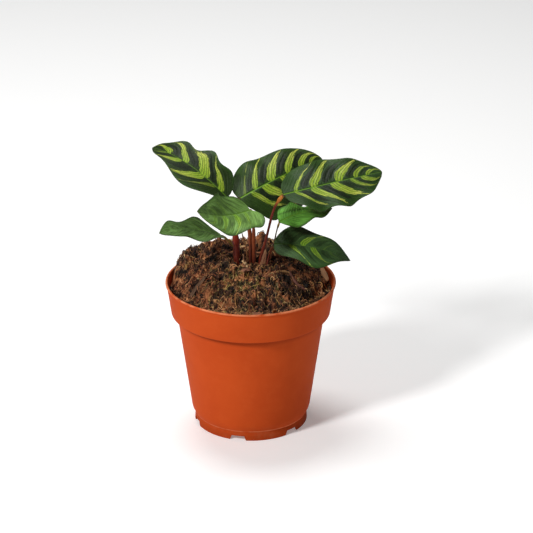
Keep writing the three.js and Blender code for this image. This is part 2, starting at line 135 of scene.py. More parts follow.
# Value noise: random numbers on a lattice, blended smoothly between the lattice points.
def latticeNoise(x, y, size, seed):
    table = np.random.default_rng(seed).random((64, 64))
    u, v = x / size + 31.7, y / size + 17.3
    i, j = np.floor(u).astype(int), np.floor(v).astype(int)
    s, t = u - i, v - j
    s, t = s * s * (3 - 2 * s), t * t * (3 - 2 * t)
    i0, i1, j0, j1 = i % 64, (i + 1) % 64, j % 64, (j + 1) % 64
    low = table[i0, j0] * (1 - s) + table[i1, j0] * s
    high = table[i0, j1] * (1 - s) + table[i1, j1] * s
    return low * (1 - t) + high * t


# Shader maths

class Signal:
    # One socket. Arithmetic on it adds Math nodes to its tree.
    def __init__(self, tree, socket):
        self.tree = tree
        self.socket = socket

    def math(self, operation, *others):
        node = self.tree.nodes.new("ShaderNodeMath")
        node.operation = operation
        for slot, value in zip(node.inputs, (self, *others)):
            feed(self.tree, slot, value)
        return Signal(self.tree, node.outputs[0])

    def __add__(self, other):
        return self.math("ADD", other)

    def __sub__(self, other):
        return self.math("SUBTRACT", other)

    def __mul__(self, other):
        return self.math("MULTIPLY", other)

    def __truediv__(self, other):
        return self.math("DIVIDE", other)

    def __pow__(self, other):
        return self.math("POWER", other)

    def __rsub__(self, other):
        return self.math("MULTIPLY", -1).math("ADD", other)

    __radd__ = __add__
    __rmul__ = __mul__


def feed(tree, slot, value):
    if isinstance(value, Signal):
        tree.links.new(value.socket, slot)
    else:
        slot.default_value = value


class Finish:
    # A material under construction, with its Principled shader.
    def __init__(self, name):
        self.material = bpy.data.materials.new(name)
        self.material.use_nodes = True
        self.tree = self.material.node_tree
        self.surface = self.tree.nodes["Principled BSDF"]

    # Adds any node: its settings first, then its sockets by name or number; gives one output.
    def node(self, kind, settings=None, sockets=None, output=0):
        made = self.tree.nodes.new("ShaderNode" + kind)
        for name, value in (settings or {}).items():
            if name == "stops":
                fillRamp(made.color_ramp, value)
            else:
                setattr(made, name, value)
        for name, value in (sockets or {}).items():
            feed(self.tree, made.inputs[name], value)
        return Signal(self.tree, made.outputs[output])

    def coordinates(self, kind="Object"):
        return self.node("TexCoord", output=kind)

    # The places along and across a piece, from its UV map.
    def alongAcross(self):
        uv = self.coordinates("UV")
        return (self.node("SeparateXYZ", None, {"Vector": uv}, axis) for axis in ("X", "Y"))

    def vector(self, x, y, z=0.0):
        return self.node("CombineXYZ", None, {"X": x, "Y": y, "Z": z})

    # Object coordinates, each axis times its own factor.
    def stretched(self, factors):
        return self.node("VectorMath", {"operation": "MULTIPLY"}, {0: self.coordinates(), 1: factors})

    def attribute(self, name):
        return self.node("Attribute", {"attribute_name": name}, None, "Fac")

    def noise(self, scale, detail=3, roughness=0.55, vector=None):
        sockets = {"Scale": scale, "Detail": detail, "Roughness": roughness}
        sockets["Vector"] = vector or self.coordinates()
        return self.node("TexNoise", None, sockets)

    def step(self, value, low, high):
        sockets = {"Value": value, "From Min": low, "From Max": high}
        return self.node("MapRange", {"interpolation_type": "SMOOTHSTEP"}, sockets)

    def mix(self, factor, first, second):
        return self.node("Mix", {"data_type": "RGBA"}, {0: factor, 6: first, 7: second}, 2)

    def ramp(self, value, stops):
        return self.node("ValToRGB", {"stops": stops}, {"Fac": value})

    def set(self, name, value):
        feed(self.tree, self.surface.inputs[name], value)

    # Fills the surface's main sockets, adds the bump and gives the material.
    def done(self, colour, roughness, height, distance, strength, specular=None):
        self.set("Base Color", colour)
        self.set("Roughness", roughness)
        if specular is not None:
            self.set("Specular IOR Level", specular)
        sockets = {"Height": height, "Distance": distance, "Strength": strength}
        self.set("Normal", self.node("Bump", None, sockets))
        return self.material


def fillRamp(ramp, stops):
    while len(ramp.elements) < len(stops):
        ramp.elements.new(1.0)
    for element, (place, colour) in zip(ramp.elements, stops):
        element.position = place
        element.color = colour


# A colour given as it looks on a screen, 0 to 255, in the linear light that shaders use.
def shade(red, green, blue):
    levels = np.array([red, green, blue]) / 255
    linear = np.where(levels <= 0.04045, levels / 12.92, ((levels + 0.055) / 1.055) ** 2.4)
    return (*(float(level) for level in linear), 1.0)


def scaled(colour, factor, lift=0.0):
    return tuple(level * factor + lift for level in colour[:3]) + (1,)


# Camera, floor and light

camera = {"aim": (0.010, 0.0, 0.1053), "distance": 1.8, "elevation": 23.6, "lens": 192.2}
studio = {"floor": (0.9, 0.9, 0.895, 1.0), "glow": 0.24, "floorHalf": 6.0,
          "world": (1.0, 1.0, 1.0, 1.0), "worldStrength": 0.12,
          "key": {"place": (-0.95, -0.95, 1.15), "size": 0.3, "watts": 21.0},
          "fill": {"place": (0.9, -0.8, 0.7), "size": 1.0, "watts": 0.05},
          "top": {"place": (-0.15, 0.35, 1.3), "size": 0.6, "watts": 10.0}}


def aimAt(obj, target):
    direction = Vector(target) - obj.location
    obj.rotation_euler = direction.to_track_quat("-Z", "Y").to_euler()


def makeCamera():
    data = bpy.data.cameras.new("camera")
    data.lens = camera["lens"]
    data.sensor_width = 36.0
    data.clip_start = 0.05
    obj = bpy.data.objects.new("camera", data)
    bpy.context.scene.collection.objects.link(obj)
    tilt = math.radians(camera["elevation"])
    aim = np.array(camera["aim"])
    obj.location = aim + camera["distance"] * np.array([0, -math.cos(tilt), math.sin(tilt)])
    aimAt(obj, camera["aim"])
    bpy.context.scene.camera = obj


def makeLight(name, place, size, watts):
    data = bpy.data.lights.new(name, "AREA")
    data.shape = "DISK"
    data.size = size
    data.energy = watts
    obj = bpy.data.objects.new(name, data)
    bpy.context.scene.collection.objects.link(obj)
    obj.location = place
    aimAt(obj, (0, 0, 0.09))


def makeStudio():
    scene = bpy.context.scene
    scene.view_settings.view_transform = "Standard"
    world = bpy.data.worlds.new("studio")
    world.use_nodes = True
    sky = world.node_tree.nodes["Background"].inputs
    sky["Color"].default_value = studio["world"]
    sky["Strength"].default_value = studio["worldStrength"]
    scene.world = world
    for name in ("key", "fill", "top"):
        makeLight(name, **studio[name])
    finish = Finish("floor")
    finish.set("Base Color", studio["floor"])
    finish.set("Roughness", 0.9)
    finish.set("Specular IOR Level", 0.1)
    finish.set("Emission Color", studio["floor"])
    finish.set("Emission Strength", studio["glow"])
    half = studio["floorHalf"]
    corners = np.array([[-half, -half, 0], [half, -half, 0], [half, half, 0], [-half, half, 0]])
    floor = putMesh("floor", corners, [np.array([[0, 1, 2, 3]])], finish.material)


makeCamera()
makeStudio()
print("studio made")


# Pot

pot = {"colour": shade(188, 74, 28), "deep": shade(180, 68, 25), "pale": shade(196, 86, 40),
       "shadow": shade(118, 40, 16), "paintedHighlight": shade(226, 142, 100), "roughness": 0.62, "around": 360,
       "footRadius": 36 * mm, "notches": 6, "notchWidth": 10.7 * mm, "notchHeight": 3.2 * mm,
       "notchFlank": 1.2 * mm, "firstNotch": -13.3, "holes": 6, "holeRadius": 3.5 * mm,
       "holeCircle": 23 * mm, "firstHole": 16.7}


# Moulded plastic, with painted shade at the foot and under the band and painted highlight lines on the lip
# and the crease.
def potFinish():
    finish = Finish("pot plastic")
    cloud = finish.noise(28, 3, 0.6)
    mottle = finish.noise(160, 4, 0.65)
    grain = finish.noise(900, 3, 0.6)
    colour = finish.mix(finish.step(cloud, 0.3, 0.75), pot["colour"], pot["deep"])
    colour = finish.mix(finish.step(mottle, 0.45, 0.8) * 0.22, colour, pot["pale"])
    height = finish.node("SeparateXYZ", None, {"Vector": finish.coordinates()}, "Z")
    # Painted shade: the foot is darkened below 8 mm, where shadow falls next to the floor.
    colour = finish.mix(finish.step(height, 0.008, 0.002) * 0.35, colour, pot["shadow"])
    # Painted shadow under the band's overhanging lower edge.
    underBandShadow = finish.step(height, 0.0695, 0.0746) * finish.step(height, 0.0756, 0.0748)
    colour = finish.mix(underBandShadow * 0.6, colour, pot["shadow"])
    # Painted highlight lines along the top edge of the lip and along the crease above the foot, broken up by
    # the mottle.
    crease = finish.step(height, 0.0058, 0.0063) * finish.step(height, 0.0072, 0.0066)
    lip = finish.step(height, 0.0949, 0.0954) + crease * 0.7
    colour = finish.mix(lip * finish.step(mottle, 0.3, 0.6) * 0.7, colour, pot["paintedHighlight"])
    dust = finish.step(height, 0.012, 0.001) * finish.step(mottle, 0.45, 0.7) * 0.18
    colour = finish.mix(dust, colour, shade(168, 104, 74))
    roughness = pot["roughness"] + (mottle - 0.5) * 0.18 + (grain - 0.5) * 0.1
    return finish.done(colour, roughness, mottle * 0.4 + grain * 0.6, 0.0001, 0.4, 0.03)


# Points of an arc about a centre from one angle to another, in degrees.
def arc(centre, radius, start, end, steps=5):
    angles = np.radians(np.linspace(start, end, steps))
    return [(centre[0] + radius * math.cos(a), centre[1] + radius * math.sin(a)) for a in angles]


# The wall's outline [radius, height] in millimetres, up the outside, over the lip and down inside.
def potOutline():
    return [
        (34.8, 0.35), (35.1, 0.0), (35.8, 0.0), (36.1, 0.3), (36.0, 2.0), (35.75, 4.4), (35.6, 5.0),
        *arc((36.0, 5.55), 0.45, 235, 130, 4), (36.15, 6.6), (36.9, 8.3), (37.55, 9.6), (38.0, 11.4),
        *[(38.0 + 8.9 * t, 11.4 + 63.0 * t) for t in np.linspace(0.05, 0.99, 18)],
        *arc((47.35, 74.6), 0.4, 180, 90, 4), (48.2, 75.0),
        *arc((49.7, 75.9), 0.9, -90, -5, 6),
        *[(50.6 + 2.6 * t, 76.0 + 17.6 * t) for t in np.linspace(0.08, 1, 8)],
        (53.2, 94.0), *arc((53.35, 94.95), 0.65, -70, 0, 4), (54.0, 95.3),
        *arc((53.3, 95.3), 0.7, 10, 170, 8), (52.45, 94.6),
        *[(52.3 - 2.9 * t, 94.0 - 17.6 * t) for t in np.linspace(0, 1, 6)],
        *arc((49.0, 76.5), 0.3, 0, -90, 3), (47.2, 76.2), *arc((46.0, 75.95), 0.25, 90, 180, 3),
        *[(45.6 - 8.7 * t, 74.6 - 63.0 * t) for t in np.linspace(0, 1, 10)],
        (36.1, 9.0), (35.2, 6.6), *arc((33.8, 6.0), 1.0, 0, -90, 4), (28.0, 5.0),
    ]


# The floor from below: a flat gate foot at the middle, then the plate and the inside of the foot ring.
potUnderside = [(2.0, 0.0), (5.0, 0.0), (6.6, 0.0), (6.95, 0.3), (7.0, 2.0), (7.05, 3.2), (7.4, 3.6),
                (12.0, 3.6), (18.0, 3.6), (28.0, 3.6), (33.6, 3.6), (34.5, 3.45), (34.8, 3.05), (34.8, 1.8)]


# How much of its full height a notch has at each angle: 1 between its flanks, falling to 0 outside them.
def notchShare(angles):
    gap = tau / pot["notches"]
    first = math.radians(pot["firstNotch"] - 90)
    away = np.abs((angles - first + gap / 2) % gap - gap / 2) * pot["footRadius"]
    return np.clip((pot["notchWidth"] / 2 - away) / pot["notchFlank"], 0, 1)


# The wall is the outline turned round the axis. In a notch, the foot's edge is lifted to the notch's top.
def makePot():
    outline = np.array(potUnderside + potOutline() + [(18.0, 5.0), (10.0, 5.0), (2.0, 5.0)]) * mm
    gap = tau / pot["notches"]
    first = math.radians(pot["firstNotch"] - 90)
    edges = np.array([pot["notchWidth"] / 2, pot["notchWidth"] / 2 - pot["notchFlank"]]) / pot["footRadius"]
    edges = (first + np.arange(pot["notches"])[:, None] * gap + np.concatenate([edges, -edges])).ravel()
    even = np.arange(pot["around"]) * tau / pot["around"]
    angles = np.unique(np.round(np.concatenate([even, edges % tau]), 5))
    radius, height = outline[:, 0][:, None], outline[:, 1][:, None]
    lift = notchShare(angles) * pot["notchHeight"] * (radius > 34.7 * mm)
    height = np.where(height < lift, lift - (lift - height) * 0.02, height)
    warp = 1 + 0.0015 * np.sin(2 * angles + 0.6) * smooth(0.05, 0.096, height)
    rings = np.stack([radius * warp * np.cos(angles), radius * warp * np.sin(angles), height], axis=-1)
    piece = ringPiece("pot_fine", rings, potFinish())
    cutHoles(piece)
    placed(piece, "pot_plastic", "pot")


# Drain holes: six round cutters taken out of the floor plate.
def cutHoles(piece):
    turns = np.arange(28) * tau / 28
    for index in range(pot["holes"]):
        angle = math.radians(pot["firstHole"] - 90) + index * tau / pot["holes"]
        x = pot["holeCircle"] * math.cos(angle) + pot["holeRadius"] * np.cos(turns)
        y = pot["holeCircle"] * math.sin(angle) + pot["holeRadius"] * np.sin(turns)
        rings = np.stack([np.stack([x, y, np.full(28, level * mm)], axis=-1) for level in (2.5, 6.0)])
        cutter = ringPiece("cutter", rings, piece.data.materials[0])
        modifier = piece.modifiers.new("hole", "BOOLEAN")
        modifier.operation, modifier.solver, modifier.object = "DIFFERENCE", "EXACT", cutter
        bpy.context.view_layer.update()
        mesh = bpy.data.meshes.new_from_object(piece.evaluated_get(bpy.context.evaluated_depsgraph_get()))
        piece.modifiers.clear()
        piece.data = mesh
        bpy.data.objects.remove(cutter)
    piece.data.set_sharp_from_angle(angle=math.radians(40))


makePot()
print("pot made")


# Soil
# From here on, tables are in millimetres and meshes are scaled to metres as they are made.
# The limits are the furthest that each kind of loose piece may lie from the axis.

soil = {"edgeHeight": 91.8, "edgeRadius": 51.2, "crownHeight": 17.5, "crownPower": 2.4, "crownShift": 9.0,
        "rows": 150, "around": 560, "lumps": [(13.0, 2.2), (6.5, 2.8), (3.4, 3.0), (1.8, 1.9), (0.9, 0.8)],
        "heaps": [((-44, 16), 12, 7.5), ((-38, 24), 6.5, 7), ((-27, 26), 5.5, 7), ((-18, 25), 4, 4.5),
                  ((7.5, 26), 8.5, 5), ((16, 26), 2.5, 7)],
        "dark": shade(13, 8, 5), "brown": shade(66, 39, 24), "light": shade(196, 132, 86),
        "scatterRadius": 50.2, "spotLimit": 49.4, "threadLimit": 50.0, "crumbLimit": 49.8, "barkLimit": 50.4}


# How far a place is from the crown to the wall, as the root of a quadratic for shifted rings.
# Known fault: half has the wrong sign for the rings in makeSoil, so this heap leans the other way from the
# packed soil, low at the front and high at the back.
def soilShare(x, y):
    fromCrown = y - soil["crownShift"]
    square = soil["crownShift"] ** 2 - soil["edgeRadius"] ** 2
    half = -soil["crownShift"] * fromCrown
    root = half**2 - square * (x**2 + fromCrown**2)
    return (-half - np.sqrt(np.maximum(root, 0))) / square


# Lumps: layers of noise, the finer ones folded so that they make rounded clods with sharp creases.
def soilLumps(x, y):
    total = np.zeros_like(x)
    for index, (size, height) in enumerate(soil["lumps"]):
        layer = latticeNoise(x + 0.3 * y, y - 0.3 * x, size, 40 + index)
        if index > 0:
            layer = 0.82 - np.abs(2 * layer - 1) ** 0.8
        total = total + height * (layer - 0.42)
    return total


# The crown, plus the heaps, plus the lumps, which fade out just short of the wall.
def soilTop(x, y):
    share = np.clip(soilShare(x, y), 0, 1)
    height = soil["edgeHeight"] + soil["crownHeight"] * (1 - share ** soil["crownPower"])
    for (heapX, heapY), rise, reach in soil["heaps"]:
        height = height + rise * np.exp(-((x - heapX) ** 2 + (y - heapY) ** 2) / reach**2) * (1 - share**8)
    return height + soilLumps(x, y) * (1 - 0.75 * smooth(0.93, 1.0, share)) - 0.6 \
        - 2.0 * smooth(0.955, 1.0, share)


# Painted shade in the peat's gaps, nearly black, and painted light on its clumps, warmer and paler, from one
# coarse noise.
def paintedShadeAndLight(finish, colour):
    lightAndShade = finish.noise(150, 3, 0.65)
    colour = finish.mix(finish.step(lightAndShade, 0.51, 0.66) * 0.5, colour, shade(212, 136, 84))
    return finish.mix(finish.step(lightAndShade, 0.5, 0.38) * 0.82, colour, shade(14, 9, 6))


def soilFinish():
    finish = Finish("peat")
    tone = finish.attribute("tone")
    grit = finish.noise(900, 5, 0.7)
    patch = finish.noise(70, 4, 0.6)
    speck = finish.noise(2600, 2, 0.6)
    threads = finish.noise(1, 4, 0.7, finish.stretched((1500, 420, 600)))
    # Painted shade and painted light: the tone carries the lumps' height, so crevices go dark and lump tops
    # go pale, broken up by grit and threads.
    level = tone * 0.9 + (grit - 0.5) * 1.0 + (threads - 0.5) * 0.7
    colour = finish.mix(finish.step(level, 0.12, 0.62), soil["dark"], soil["brown"])
    colour = finish.mix(finish.step(level, 0.6, 1.15), colour, soil["light"])
    colour = finish.mix(finish.step(patch, 0.5, 0.72) * 0.4, colour, shade(96, 52, 34))
    colour = finish.mix(finish.step(speck, 0.66, 0.74) * 0.5, colour, shade(150, 112, 74))
    roughness = 0.78 + (grit - 0.5) * 0.3
    # The peat's colour gets painted shade in its gaps and painted light on its clumps.
    return finish.done(paintedShadeAndLight(finish, colour), roughness, grit * 0.6 + threads * 0.4, 0.0009, 0.9, 0.3)


# A closed body: the bottom, the side just inside the pot's wall, then the lumpy top in shifted rings.
def makeSoil():
    turns = np.arange(soil["around"]) * tau / soil["around"]
    side = [(8.0, 5.3), (33.8, 5.4), (35.3, 9.8), (45.0, 75.6), (45.5, 77.0), (48.7, 77.0), (51.0, 90.4)]
    lower = [np.stack([r * np.cos(turns), r * np.sin(turns), np.full_like(turns, z)], axis=-1)
             for r, z in side]
    share = np.linspace(1.0, 0.006, soil["rows"])[:, None]
    x = soil["edgeRadius"] * share * np.cos(turns)
    y = soil["crownShift"] * (1 - share) + soil["edgeRadius"] * share * np.sin(turns)
    top = np.stack([x, y, soilTop(x, y)], axis=-1)
    rings = np.concatenate([np.stack(lower), top])
    # The tone follows the lumps' height, so the peat's finish paints shade into the crevices and light onto
    # the lump tops.
    lumps = soilLumps(x, y) * 0.14 + 0.4
    tone = np.concatenate([np.zeros(len(side) * soil["around"]), lumps.ravel(), [0, 0.5]])
    piece = ringPiece("soil_fine", rings * mm, soilFinish(), None, tone)
    placed(piece, "peat", "soil")


makeSoil()
print("soil made")


# Threads, crumbs and bark on the soil

# Face indices for many copies of one shape, each copy's vertices following the last copy's.
def copiedFaces(faces, count, stride):
    return (faces[None] + (np.arange(count) * stride)[:, None, None]).reshape(-1, faces.shape[1])


# Places on the soil scattered round several centres: each is [x, y], spread and share of the whole.
def scattered(random, count, clusters=None):
    radius = soil["scatterRadius"] * np.sqrt(random.random(count))
    angle = random.uniform(0, tau, count)
    spots = np.stack([radius * np.cos(angle), radius * np.sin(angle)], axis=-1)
    if clusters:
        centres, spreads, shares = (np.array(column, dtype=float) for column in zip(*clusters))
        choice = random.choice(len(clusters), size=count, p=shares / shares.sum())
        spots = centres[choice] + random.normal(size=(count, 2)) * spreads[choice][:, None]
    away = np.linalg.norm(spots, axis=1, keepdims=True)
    return spots * np.minimum(1, soil["spotLimit"] / np.maximum(away, 1))


# Threads: each wanders as its heading turns at a steady rate plus a slow wave, and arches up by its lift.
# The ground under it is evened out first, so that it spans small hollows.
def makeThreads(name, look, finish):
    random = np.random.default_rng(look["seed"])
    spots = scattered(random, look["count"], look.get("clusters"))
    count, rows = len(spots), look["rows"]
    t = np.linspace(0, 1, rows)[None]
    drawn = lambda low, high: random.uniform(low, high, count)[:, None]
    length = look["length"][0] + (look["length"][1] - look["length"][0]) * drawn(0, 1) ** 2
    heading = drawn(0, tau) + drawn(-1, 1) * look["curl"] * t \
        + drawn(0, 1) * look["wave"] * np.sin(tau * (t * drawn(0.6, 1.6) + drawn(0, 1)))
    stride = length / (rows - 1)
    x = spots[:, :1] + np.cumsum(np.cos(heading), axis=1) * stride
    y = spots[:, 1:] + np.cumsum(np.sin(heading), axis=1) * stride
    hold = np.minimum(1, soil["threadLimit"] / np.maximum(np.hypot(x, y), 1))
    x, y = x * hold, y * hold
    ground = soilTop(x, y)
    for _ in range(2):
        ground[:, 1:-1] = (ground[:, :-2] + 2 * ground[:, 1:-1] + ground[:, 2:]) / 4
    lift = look["lift"][0] + (look["lift"][1] - look["lift"][0]) * drawn(0, 1) ** 3
    z = ground + lift * np.sin(np.pi * np.clip(t * drawn(0.8, 1.3), 0, 1)) + drawn(-0.1, 0.3) * t + 0.05
    path = np.stack([x, y, z], axis=-1)
    along = unit(np.gradient(path, axis=1) + 1e-6)
    aside = unit(np.cross(along, np.array([0.02, 0.03, 1.0])))
    above = np.cross(aside, along)
    radius = look["radius"][0] + (look["radius"][1] - look["radius"][0]) * drawn(0, 1) ** 2
    radius = (radius * (1 - 0.55 * t) * np.minimum(1, 0.35 + 4 * t * (1 - t)))[..., None]
    corners = [path + radius * (math.cos(a) * aside - math.sin(a) * above) for a in (0.4, 2.5, 4.6)]
    vertices = np.stack(corners, axis=2).reshape(-1, 3)
    caps = np.array([[2, 1, 0], [rows * 3 - 3, rows * 3 - 2, rows * 3 - 1]])
    groups = [copiedFaces(ringFaces(rows, 3), count, rows * 3), copiedFaces(caps, count, rows * 3)]
    tone = np.repeat(random.random(count), rows * 3)
    placed(putMesh(name, vertices * mm, groups, finish, None, tone), "peat")


# A thread's colour is chosen along a ramp by its own tone and broken up by noise.
def threadFinish(name, colours, roughness=0.7):
    finish = Finish(name)
    tone = finish.attribute("tone")
    grain = finish.noise(1400, 3, 0.6)
    stops = [((index + 0.5) / len(colours), colour) for index, colour in enumerate(colours)]
    colour = finish.ramp(tone + (grain - 0.5) * 0.35, stops)
    colour = finish.mix(finish.step(grain, 0.5, 0.25) * 0.6, colour, shade(28, 17, 11))
    # The thread's colour gets painted shade in the peat's gaps and painted light on its clumps.
    return finish.done(paintedShadeAndLight(finish, colour), roughness + (grain - 0.5) * 0.2, grain, 0.0002, 0.6, 0.35)


# A cluster is [centre, spread, share of the threads].
threads = {
    "peat_fibres": {
        "count": 3800, "seed": 3, "rows": 7, "length": (2.0, 8.0), "radius": (0.15, 0.5), "curl": 2.6,
        "wave": 0.9, "lift": (0.1, 2.4),
        "colours": [shade(16, 10, 6), shade(40, 23, 14), shade(128, 80, 50), shade(214, 158, 108),
                    shade(84, 42, 24)]},
    "red_fibres": {
        "count": 1100, "seed": 5, "rows": 8, "length": (2.5, 9.0), "radius": (0.14, 0.45), "curl": 2.8,
        "wave": 0.8, "lift": (0.2, 2.4),
        "clusters": [((-38, -6), 8, 3), ((-30, -22), 8, 1.5), ((-4, 24), 7, 1.4), ((6, -8), 7, 1.2),
                     ((34, 8), 9, 1), ((8, -38), 7, 1)],
        "colours": [shade(70, 32, 18), shade(166, 90, 54), shade(222, 150, 104), shade(104, 52, 30)]},
    "pale_fibres": {
        "count": 800, "seed": 7, "rows": 9, "length": (2.0, 9.0), "radius": (0.13, 0.36), "curl": 3.2,
        "wave": 1.2, "lift": (0.2, 2.6),
        "colours": [shade(186, 132, 72), shade(226, 180, 108), shade(160, 104, 56), shade(240, 208, 144)]},
    "moss": {
        "count": 420, "seed": 9, "rows": 9, "length": (2.0, 7.0), "radius": (0.1, 0.28), "curl": 5.0,
        "wave": 1.6, "lift": (0.2, 2.4),
        "clusters": [((-12, -14), 6.5, 4), ((2, -16), 5.5, 3), ((-22, -24), 6, 1.5), ((-2, -34), 7, 2),
                     ((14, -20), 8, 1), ((30, -26), 8, 0.8)],
        "colours": [shade(90, 82, 30), shade(156, 140, 58), shade(206, 188, 112), shade(110, 92, 40)]},
}
for name, look in threads.items():
    makeThreads(name, look, threadFinish(name, look["colours"]))
print("threads made")


# The twelve corners and twenty faces of a regular solid, from the golden ratio.
def icosahedron():
    g = (1 + math.sqrt(5)) / 2
    corners = np.array([(-1, g, 0), (1, g, 0), (-1, -g, 0), (1, -g, 0), (0, -1, g), (0, 1, g), (0, -1, -g),
                        (0, 1, -g), (g, 0, -1), (g, 0, 1), (-g, 0, -1), (-g, 0, 1)]) / math.hypot(1, g)
    faces = np.array([(0, 11, 5), (0, 5, 1), (0, 1, 7), (0, 7, 10), (0, 10, 11), (1, 5, 9), (5, 11, 4),
                      (11, 10, 2), (10, 7, 6), (7, 1, 8), (3, 9, 4), (3, 4, 2), (3, 2, 6), (3, 6, 8),
                      (3, 8, 9), (4, 9, 5), (2, 4, 11), (6, 2, 10), (8, 6, 7), (9, 8, 1)])
    return corners, faces


crumbs = {"count": 1900, "seed": 11, "size": (0.6, 3.4), "rise": 0.1,
          "colours": [shade(16, 10, 6), shade(66, 38, 24), shade(130, 82, 52), shade(36, 20, 12),
                      shade(204, 146, 96)]}


# Crumbs: rough lumps, each stretched and turned at random, with its middle just above the soil.
def makeCrumbs():
    random = np.random.default_rng(crumbs["seed"])
    count = crumbs["count"]
    corners, faces = icosahedron()
    size = crumbs["size"][0] + (crumbs["size"][1] - crumbs["size"][0]) * random.random(count) ** 3
    stretch = random.uniform(0.25, 1.35, (count, 1, 3))
    rough = corners[None] * (1 + random.uniform(-0.4, 0.4, (count, 12, 1))) * stretch
    turn = np.linalg.qr(random.normal(size=(count, 3, 3)))[0]
    turn[:, :, 0] *= np.sign(np.linalg.det(turn))[:, None]
    spots = scattered(random, count)
    away = np.maximum(np.linalg.norm(spots, axis=1), 1)
    spots *= np.minimum(1, (soil["crumbLimit"] - size) / away)[:, None]
    height = soilTop(spots[:, 0], spots[:, 1]) + size * crumbs["rise"]
    centre = np.concatenate([spots, height[:, None]], axis=1)
    vertices = np.einsum("nij,nkj->nki", turn, rough) * size[:, None, None] * 0.5 + centre[:, None]
    tone = np.repeat(random.random(count), 12)
    piece = putMesh("crumbs", vertices.reshape(-1, 3) * mm, [copiedFaces(faces, count, 12)],
                    threadFinish("crumbs", crumbs["colours"], 0.8), None, tone)
    placed(piece, "peat")


makeCrumbs()
print("crumbs made")


# Leaves
# ruffle is [height, waves, phase] of the edge; each side's lobes are [share, waves, phase] of its outline.
# A streak or blotch is [place along the midrib, half width, outer end, strength], places as shares.

